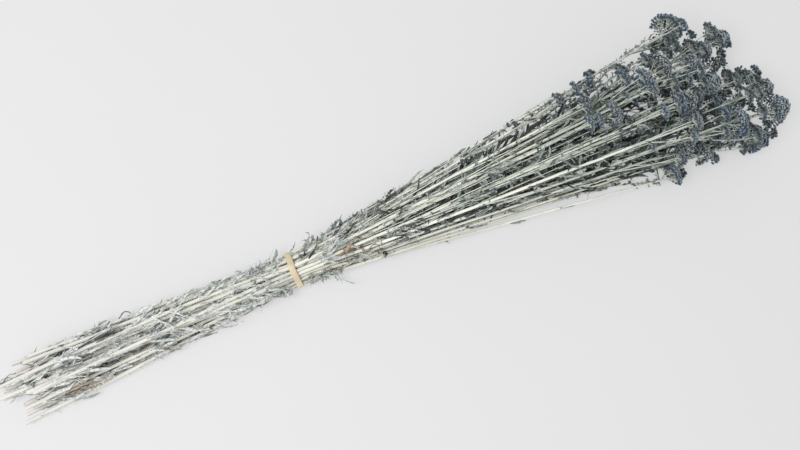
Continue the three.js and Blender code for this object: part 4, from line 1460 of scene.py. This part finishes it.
def addPaintedShadeLeaves(sprig, stem, rng):
    plan = shadeLeafPlan
    alongs = np.arange(plan["start"], min(plan["end"], stemEnds[stem["index"]] - 5), plan["spacing"])
    alongs = alongs + rng.uniform(-4, 4, len(alongs))
    forward, side, over = stemDirections(stem, alongs)
    roots = np.array([centreAt(stem, x) for x in alongs])
    keep = (buriedShare(roots) > plan["buried"]) & (pastEdge(stem, alongs) < 0)
    roots, forward, side, over = roots[keep], forward[keep], side[keep], over[keep]
    count = len(roots)
    if not count:
        return
    turn = rng.uniform(0, 6.28, count)[:, None]
    away = side * np.cos(turn) - over * abs(np.sin(turn)) * 0.4
    lean, curl = np.radians(rng.uniform(*plan["lean"], count)), np.radians(rng.uniform(*plan["curl"], count))
    length = rng.uniform(*plan["length"], count)
    paths, _ = growRibs(roots, forward, units(away), length, lean, curl, rng, steps=4)
    free = heldIn(keepOff(paths.reshape(-1, 3), 0.4), -1.0).reshape(paths.shape)
    swell = np.sin(math.pi * np.clip(np.linspace(0, 1, paths.shape[1]), 0.15, 0.9)) ** 0.5
    hidden = buriedShare(free.reshape(-1, 3)).reshape(count, -1).mean(1) > plan["covered"]
    for path, wide in zip(free[hidden], rng.uniform(*plan["wide"], count)):
        turn = rng.normal(0, 0.5) + np.cumsum(rng.normal(0, 0.3, len(path)))
        girth = wide * swell * rng.uniform(0.7, 1.2, len(path))
        # painted shade: the ribbons are coloured near black
        addStrand(sprig, path, girth, leafKind, rng.uniform(*plan["shade"], len(path)), 0.0, turn)


# Small umbels on low side branches, which fill the depth between the flower heads, coloured darker as painted
# shade

fillPlan = {
    "spacing": 7.0,
    "floret": (3.6, 5.6),
    "height": (7.0, 30.0),
    "ray": (16.0, 32.0),
    "farthest": 12.0,  # from the tip across to the stem that bears it
    # darker than the heads: painted shade in the depth between them
    "shade": (0.0, 0.40),
    "rootBefore": 24.0,
    "placed": [  # where the floor would show between two heads: the umbel's tip and its size
        ((615, 7, 20), 5.0), ((609, -4, 20), 4.6), ((609, -13, 20), 4.4), ((634, 12, 22), 4.6),
        ((667, -8, 20), 4.8), ((631, 52, 24), 5.0), ((684, -55, 12), 5.2), ((699, 1, 20), 4.4),
        ((602, -57, 10), 4.4), ((657, 50, 30), 4.4), ((634, -56, 10), 4.8), ((603, -4, 30), 4.2),
        ((678, -28, 22), 4.6), ((624, 55, 34), 4.2), ((619, 13, 18), 4.4),
        ((686, -48, 18), 4.6), ((688, -57, 15), 4.4), ((680, -61, 12), 3.8), ((700, -4, 20), 4.0),
        ((685, 30, 26), 4.0), ((539, -16, 10), 3.8),
    ],
    "region": [  # where heads stand close together: along and across
        (552, 30), (607, 50), (632, 62), (652, 49), (663, 39), (681, 25), (675, 11), (674, -5),
        (675, -21), (673, -38), (658, -51), (627, -49), (607, -48), (575, -36), (540, -30), (524, -14),
    ],
}


def nearestStem(spot, low, high):
    near = [(math.dist(centreAt(s, spot[0])[1:], spot[1:]), s["index"]) for s in stems
            if low(s) < spot[0] < high(s)]
    return min(near)[1]


def isInside(spot, region):
    inside = False
    for (x0, y0), (x1, y1) in zip(region, region[1:] + region[:1]):
        if (y0 > spot[1]) != (y1 > spot[1]) and spot[0] < (x1 - x0) * (spot[1] - y0) / (y1 - y0) + x0:
            inside = not inside
    return inside


def planFillers(rng):  # for each stem, the umbels it adds where no other head stands above
    plan = fillPlan
    fillers = {stem["index"]: [] for stem in stems}
    tips = [(stem["umbel"]["tip"], stem["umbel"]["floret"]) for stem in stems]
    tips += [(tip, floret) for stem in stems for root, tip, floret in stem["rays"]]
    tips += [(branch["tip"], branch["floret"]) for stem in stems for branch in stem["branches"]]
    taken = np.array([[*tip[:2], floret] for tip, floret in tips])
    for x in np.arange(525, 682, plan["spacing"]):
        for y in np.arange(-60, 63, plan["spacing"]):
            spot = vec(x, y) + rng.uniform(-2, 2, 2)
            floret = rng.uniform(*plan["floret"])
            room = (np.hypot(*(taken[:, :2] - spot).T) - taken[:, 2]).min()
            if not isInside(spot, plan["region"]) or room < -0.25 * floret:
                continue
            tip = vec(*spot, rng.uniform(*plan["height"]))
            rootAt = x - rng.uniform(*plan["ray"])
            near = [(math.dist(centreAt(s, rootAt)[1:], tip[1:]), s["index"]) for s in stems
                    if s["branchAt"] + 2 < rootAt < s["base"][0] - 2]
            if not near or min(near)[0] > plan["farthest"]:
                continue
            bearer = min(near)[1]
            taken = np.vstack([taken, [*spot, floret]])
            fillers[bearer].append((centreAt(stems[bearer], rootAt), tip, floret))
    for tip, floret in plan["placed"]:
        rootAt = tip[0] - plan["rootBefore"]
        bearer = nearestStem((rootAt, *tip[1:]), lambda s: s["branchAt"] + 2, lambda s: s["base"][0] - 2)
        fillers[bearer].append((centreAt(stems[bearer], rootAt), vec(*tip), floret))
    return fillers


fillers = planFillers(np.random.default_rng(77))
print("umbels between the heads:", sum(len(some) for some in fillers.values()))


def addFillers(sprig, stem, rng):
    for root, tip, floret in fillers[stem["index"]]:
        axis = unit(unit(tip - root) + vec(1, 0, 0))
        knee = tip - axis * floret * 1.3
        addStrand(sprig, bowed(root, knee, axis, 0.04, 4), np.linspace(0.5, 0.4, 4), twigKind,
                  rng.uniform(0.3, 0.8))
        tint = 0.6 if rng.random() < headPlan["blueShare"] else 0.0
        addCluster(sprig, knee, tip, floret, axis, rng, rng.uniform(*fillPlan["shade"]), tint)


# Thin side shoots that leave a stem low in the fan, with leaf scraps along them and a few flowers at the end

shootPlan = {
    "perStem": 5,
    "start": 285.0,
    "length": (50.0, 130.0),
    "lean": (3.0, 10.0),
    "girth": (0.72, 0.34),
    "flowers": (2.0, 3.6),
    "flowering": 0.6,
    "points": 10,
}


def addShoot(sprig, stem, at, length, rng):
    plan, count = shootPlan, shootPlan["points"]
    forward, side, over = (v[0] for v in stemDirections(stem, [at]))
    turn = rng.uniform(0, 6.28)
    away = side * math.cos(turn) + over * math.sin(turn)
    lean = math.radians(rng.uniform(*plan["lean"]))
    shares = np.linspace(0, 1, count)
    out = length * math.sin(lean) * (shares - 0.42 * shares ** 2.2)
    line = centreAt(stem, at) + np.outer(shares * length, forward) + np.outer(out, away)
    line[:, 1:] += np.cumsum(rng.normal(0, 0.28, (count, 2)), 0) * shares[:, None]
    line[2:] = heldIn(keepOff(line[2:], 0.7), 1.0)
    line[:, 2] = np.maximum(line[:, 2], 1.0)
    addStrand(sprig, line, np.linspace(*plan["girth"], count), twigKind, rng.uniform(0.6, 1.0))
    axis = unit(line[-1] - line[-3])
    if rng.random() < plan["flowering"] and line[-1][0] < stemEnds.max() - 15:
        floret = rng.uniform(*plan["flowers"])
        addCluster(sprig, line[-1] - axis, line[-1] + axis * floret * 1.5, floret, axis, rng,
                   rng.uniform(0.2, 0.9), 0.0)
    spots = np.arange(0.1, 0.95, leafKinds["scrap"]["spacing"] * 1.6 / length) * (count - 1)
    k = spots.astype(int)
    roots = line[k] + (line[k + 1] - line[k]) * (spots - k)[:, None]
    ahead = units(line[k + 1] - line[k])
    level = units(np.cross(ahead, vec(0, 0, 1)))
    spin = rng.uniform(0, 6.28, len(spots))[:, None]
    away = level * np.cos(spin) + np.cross(ahead, level) * np.sin(spin)
    leavesOnLine(sprig, roots, ahead, away, leafKinds["scrap"], rng, rng.random(len(spots)) < 0.35)


def addShoots(sprig, stem, rng):
    for _ in range(shootPlan["perStem"]):
        at = rng.uniform(shootPlan["start"], stem["branchAt"] - 20)
        length = min(rng.uniform(*shootPlan["length"]), stemEnds[stem["index"]] - 8 - at)
        if length > 25 and pastEdge(stem, (at, at + length)).max() < 0:
            addShoot(sprig, stem, at, length, rng)


# Single twigs and loose leaves that show at the bunch's edges: along, across and up

edgeTwigs = [  # points, and the size of the umbel at the end
    ([(505, -36, 5), (527, -38, 4), (553, -45, 4), (572, -51, 4), (582, -54, 6)], 0),
    ([(556, 42, 27), (574, 48, 30), (593, 55, 32), (618, 59, 36)], 0),
    ([(455, 26, 26), (478, 33, 27), (498, 37, 28), (517, 42, 30)], 0),
    ([(520, 32, 24), (545, 36, 25), (568, 40, 26), (590, 45, 26), (612, 46, 30)], 4.6),
    ([(480, 26, 24), (502, 30, 24), (524, 34, 24), (546, 38, 26)], 3.0),
    ([(540, 30, 30), (562, 33, 32), (585, 39, 34), (606, 42, 36), (628, 44, 38)], 5.2),
    ([(545, 28, 34), (570, 31, 36), (596, 36, 38), (618, 39, 40)], 5.0),
    ([(505, 34, 26), (525, 38, 28), (545, 44, 30), (556, 50, 30)], 4.0),
    ([(570, 24, 30), (595, 30, 32), (618, 36, 33), (640, 40, 34)], 5.4),
]
looseLeaves = [  # points, half width, shade
    ([(34, 6, 15), (25, 8, 15), (16, 9, 14), (10, 11, 13), (4, 8, 12)], 1.2, 0.25),
    ([(24, 9, 13), (16, 12, 13), (10, 10, 12), (5, 5, 11)], 0.8, 0.2),
    ([(24, -2, 9), (15, -5, 8), (8, -8, 7), (3, -9, 6)], 0.55, 0.15),
    ([(108, 15, 14), (114, 20, 14), (118, 23, 13), (122, 21, 12), (123, 17, 12)], 0.5, 0.1),
    ([(264, 13, 17), (268, 16, 17), (271, 20, 16)], 1.5, 0.4),
    ([(278, 15, 16), (282, 18, 17), (284, 22, 17), (282, 24, 17)], 1.4, 0.35),
    ([(248, 13, 15), (252, 17, 14), (254, 21, 14)], 1.4, 0.4),
    ([(236, 13, 15), (238, 17, 14), (236, 19, 14)], 1.5, 0.5),
    ([(226, 13, 14), (229, 16, 13), (228, 18, 12)], 1.3, 0.45),
    ([(266, -12, 8), (271, -15, 6), (276, -16, 6)], 1.4, 0.45),
]
leafClumps = [  # along, across and up, how many leaves, shade
    ((200, 11, 13), 7, 0.55), ((222, 13, 14), 12, 0.5), ((236, 12, 15), 14, 0.45), ((246, 12, 16), 12, 0.5),
    ((252, 8, 20), 6, 0.6), ((272, 13, 16), 8, 0.5), ((286, 14, 17), 10, 0.45), ((300, 17, 18), 6, 0.4),
    ((269, -12, 7), 12, 0.5), ((279, -13, 7), 16, 0.5), ((291, -15, 7), 10, 0.55), ((243, -11, 8), 8, 0.5),
    ((206, -11, 8), 9, 0.5),
    ((350, 15, 20), 9, 0.02), ((392, -6, 17), 12, 0.02), ((372, -8, 16), 9, 0.04), ((408, -4, 18), 8, 0.02),
    ((324, 17, 18), 5, 0.03), ((305, 15, 18), 5, 0.04), ((335, -15, 14), 6, 0.03), ((357, 24, 22), 6, 0.03),
    ((362, 4, 24), 5, 0.03), ((266, 10, 20), 3, 0.05), ((430, 12, 26), 6, 0.03), ((455, 0, 26), 6, 0.03),
    ((250, -12, 8), 9, 0.5), ((228, -12, 8), 7, 0.5), ((60, 8, 17), 8, 0.2), ((98, 9, 17), 7, 0.2),
    ((30, 2, 15), 6, 0.3), ((140, -4, 18), 8, 0.5),
]
clumpLook = {"length": (8.0, 17.0), "wide": 1.5, "blades": 2, "blade": 4.2, "slim": 0.7, "leaflets": 3,
             "leaflet": (1.6, 2.8), "angle": (15, 60), "calm": 1.0, "loose": 1.0, "steps": 5}
leafBearers = {}  # for each stem, the loose leaves, the clumps and the twigs that it bears
clumpBearers = {}


for leaf in looseLeaves:
    bearer = nearestStem(leaf[0][0], lambda s: s["foot"], lambda s: s["branchAt"])
    leafBearers.setdefault(bearer, []).append(leaf)
for clump in leafClumps:
    bearer = nearestStem(clump[0], lambda s: s["foot"], lambda s: s["branchAt"])
    clumpBearers.setdefault(bearer, []).append(clump)
twigBearers = {}
for line, floret in edgeTwigs:
    bearer = nearestStem(vec(line[0][0] - 22, *line[0][1:]), lambda s: s["foot"], lambda s: s["branchAt"])
    twigBearers.setdefault(bearer, []).append((line, floret))


def smoothLine(points, steps):  # a curve through the points
    points = np.array(points, float)
    ends = np.vstack([2 * points[0] - points[1], points, 2 * points[-1] - points[-2]])
    shares = np.linspace(0, 1, steps, endpoint=False)[:, None]
    rows = []
    for a, b, c, d in zip(ends, ends[1:], ends[2:], ends[3:]):
        rows.append(0.5 * (2 * b + (c - a) * shares + (2 * a - 5 * b + 4 * c - d) * shares ** 2
                           + (3 * b - a - 3 * c + d) * shares ** 3))
    return np.vstack([*rows, points[-1:]])


def addLooseLeaves(sprig, stem, rng):
    for points, wide, shade in leafBearers.get(stem["index"], []):
        line = smoothLine([centreAt(stem, points[0][0] + 4), *points], 4)
        swell = np.sin(math.pi * np.clip(np.linspace(0, 1, len(line)), 0.15, 0.92)) ** 0.6
        turn = rng.normal(0, 0.4) + np.cumsum(rng.normal(0, 0.3, len(line)))
        addStrand(sprig, line, wide * swell * rng.uniform(0.6, 1.4, len(line)), leafKind, shade, 0.0, turn)
    for spot, count, shade in clumpBearers.get(stem["index"], []):
        alongs = spot[0] + rng.uniform(-7, 5, count)
        forward, side, over = stemDirections(stem, alongs)
        outward = rng.normal(np.sign(spot[1] - bunchMiddle(spot[0])[0]) * 0.7, 0.7, count)[:, None]
        away = units(side * outward + over * rng.normal(0.5, 0.5, (count, 1)))
        roots = (np.array([centreAt(stem, x) for x in alongs])
                 + away * stalkRadius(stem["girth"], alongs)[:, None])
        leavesOnLine(sprig, roots, forward, away, clumpLook, rng, rng.random(count) < 0.7, False, shade)
    for points, floret in twigBearers.get(stem["index"], []):
        line = smoothLine([centreAt(stem, points[0][0] - 22), *points], 5)
        line[:, 1:] += rng.normal(0, 0.18, (len(line), 2))
        addStrand(sprig, line, np.linspace(0.62, 0.35, len(line)), twigKind, 0.45)
        if floret:
            axis = unit(line[-1] - line[-4])
            addCluster(sprig, line[-1] - axis, line[-1] + axis * floret * 1.4, floret, axis, rng, 0.3, 0.0)
        k = np.repeat(np.arange(3, len(line) - 1), 2)
        ahead = units(line[k + 1] - line[k])
        level = units(np.cross(ahead, vec(0, 0, 1)))
        spin = rng.uniform(0, 6.28, len(k))[:, None]
        away = level * np.cos(spin) + np.cross(ahead, level) * np.sin(spin)
        roots = line[k] + (line[k + 1] - line[k]) * rng.random((len(k), 1))
        look = {**leafKinds["scrap"], "length": (4.0, 9.0), "wide": 0.8}
        leavesOnLine(sprig, roots, ahead, away, look, rng, rng.random(len(k)) < 0.3, held=False)


# Each stem becomes a leafy stalk and a flowering top

def restOnTable(piece):  # what lies under the table's surface is pressed flat on it
    mesh = piece.data
    points = np.empty(len(mesh.vertices) * 3, np.float32)
    mesh.vertices.foreach_get("co", points)
    points = points.reshape(-1, 3)
    points[:, 2] = np.maximum(points[:, 2], 0)
    mesh.vertices.foreach_set("co", points.ravel())
    mesh.update()


def finishPiece(piece, node):
    restOnTable(piece)
    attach(piece, "root")
    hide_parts(node)
    return sum(len(p.vertices) - 2 for p in piece.data.polygons)


def growStalk(stem, rng, tone):
    sprig, number = newSprig(), f"{stem['index'] + 1:02d}"
    stalkStrand(sprig, stem, stem["foot"], stem["branchAt"] - 0.15, rng, tone)
    plannedLeaves(sprig, stem, rng)
    stemLeaves(sprig, stem, stem["foot"] + 4, leafyStart, leafKinds["foot"], rng)
    stemLeaves(sprig, stem, leafyStart, fanStart, leafKinds["stalk"], rng)
    stemLeaves(sprig, stem, fanStart, stem["branchAt"] - 4, leafKinds["fan"], rng)
    addShoots(sprig, stem, rng)
    addPaintedShadeLeaves(sprig, stem, rng)
    addLooseLeaves(sprig, stem, rng)
    piece = growPiece("yarrowStalk_" + number, sprig, 500 + stem["index"])
    cutFoot(piece, stem, rng)
    return finishPiece(piece, "leafy_stalk_" + number)


def growTop(stem, rng, tone):
    sprig, number = newSprig(), f"{stem['index'] + 1:02d}"
    stalkStrand(sprig, stem, stem["branchAt"] + 0.15, stem["base"][0], rng, tone)
    stemLeaves(sprig, stem, stem["branchAt"] + 4, stem["base"][0] - 4, leafKinds["scrap"], rng)
    addHead(sprig, stem, rng)
    for branch in stem["branches"]:
        addSideBranch(sprig, branch, rng)
    addFillers(sprig, stem, rng)
    piece = growPiece("yarrowTop_" + number, sprig, 700 + stem["index"])
    return finishPiece(piece, "flowering_top_" + number)


faces = {"stalks": 0, "tops": 0}
for stem in stems:
    rng = np.random.default_rng(300 + stem["index"])
    tone = rng.uniform(0, 1)
    faces["stalks"] += growStalk(stem, rng, tone)
    faces["tops"] += growTop(stem, rng, tone)
print("stems grown, triangles:", faces)


# The rubber band

bandPlan = {"around": 120, "fillet": 0.0005, "weave": 0.25}


def bandTree():
    tree, given, result = newTree("rubberBandLoop", [
        ("Width", "Float", 0.005), ("Thickness", "Float", 0.0012), ("Fillet", "Float", 0.0005),
        ("Skin", "Material", None),
    ])
    line = outOf(addNode(tree, "GeometryNodeMeshToCurve", {"Mesh": given["Geometry"]}))
    flat = outOf(addNode(tree, "GeometryNodeCurvePrimitiveQuadrilateral",
                         {"Width": given["Thickness"], "Height": given["Width"]}))
    fillet = addNode(tree, "GeometryNodeFilletCurve", {"Curve": flat, "Radius": given["Fillet"]}, mode="POLY")
    fillet.inputs["Count"].default_value = 3
    loop = outOf(addNode(tree, "GeometryNodeCurveToMesh",
                         {"Curve": line, "Profile Curve": outOf(fillet), "Scale": 1.0}))
    smooth = outOf(addNode(tree, "GeometryNodeSetShadeSmooth", {0: loop}))
    whole = outOf(addNode(tree, "GeometryNodeRealizeInstances", {"Geometry": smooth}))
    tree.links.new(outOf(addNode(tree, "GeometryNodeSetMaterial",
                                 {"Geometry": whole, "Material": given["Skin"]})), result)
    return tree


def makeBand():
    count = bandPlan["around"]
    loop = bandLoop(count, growth["bandThickness"] / 2)
    along = growth["bandAlong"] + bandPlan["weave"] * np.sin(np.arange(count) / count * 4 * math.pi)
    points = (np.column_stack([along, loop]) + shift) / 1000
    mesh = bpy.data.meshes.new("beigeBand")
    mesh.from_pydata([tuple(p) for p in points], [(k, (k + 1) % count) for k in range(count)], [])
    band = grown("beigeBand", mesh, bandTree(), {
        "Width": growth["bandWidth"] / 1000, "Thickness": growth["bandThickness"] / 1000,
        "Fillet": bandPlan["fillet"], "Skin": beigeRubberSkin(),
    })
    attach(band, "root")
    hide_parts("rubber_band")
    return band


makeBand()
for shape in shapes.values():
    bpy.data.objects.remove(shape)
print("rubber band on")


# Stage

stagePlan = {
    "floorSize": 4.0,
    "sky": 0.70,
    "keyPower": 12.0,
    "keySize": 0.9,
    "keyPlace": (-0.70, -0.05, 1.25),
    "floorGlow": 0.42,
}


def makeStage():
    half = stagePlan["floorSize"] / 2
    mesh = bpy.data.meshes.new("floor")
    mesh.from_pydata([(-half, -half, 0), (half, -half, 0), (half, half, 0), (-half, half, 0)], [],
                     [(0, 1, 2, 3)])
    skin, tree, shader = newSkin("paleFloor", 0.9)
    shader.inputs["Specular IOR Level"].default_value = 0.2
    cloud = noise(tree, place(tree), 5.0, 2.0)
    tree.links.new(mixed(tree, cloud, skinColours["floor"], skinColours["floorPatch"]),
                   shader.inputs["Base Color"])
    shader.inputs["Emission Color"].default_value = (1, 1, 1, 1)
    shader.inputs["Emission Strength"].default_value = stagePlan["floorGlow"]  # keeps the shadows faint
    mesh.materials.append(skin)
    floor = bpy.data.objects.new("floor", mesh)
    scene.collection.objects.link(floor)

    world = bpy.data.worlds.new("studio")
    world.use_nodes = True
    sky = world.node_tree.nodes["Background"]
    sky.inputs["Color"].default_value = (1, 1, 1, 1)
    sky.inputs["Strength"].default_value = stagePlan["sky"]
    scene.world = world

    light = bpy.data.lights.new("windowLight", "AREA")
    light.shape, light.size = "DISK", stagePlan["keySize"]
    light.energy = stagePlan["keyPower"]
    window = bpy.data.objects.new("windowLight", light)
    window.location = stagePlan["keyPlace"]
    window.rotation_mode = "QUATERNION"
    window.rotation_quaternion = (-Vector(stagePlan["keyPlace"])).to_track_quat("-Z", "Y")
    scene.collection.objects.link(window)


makeStage()
print("stage lit")
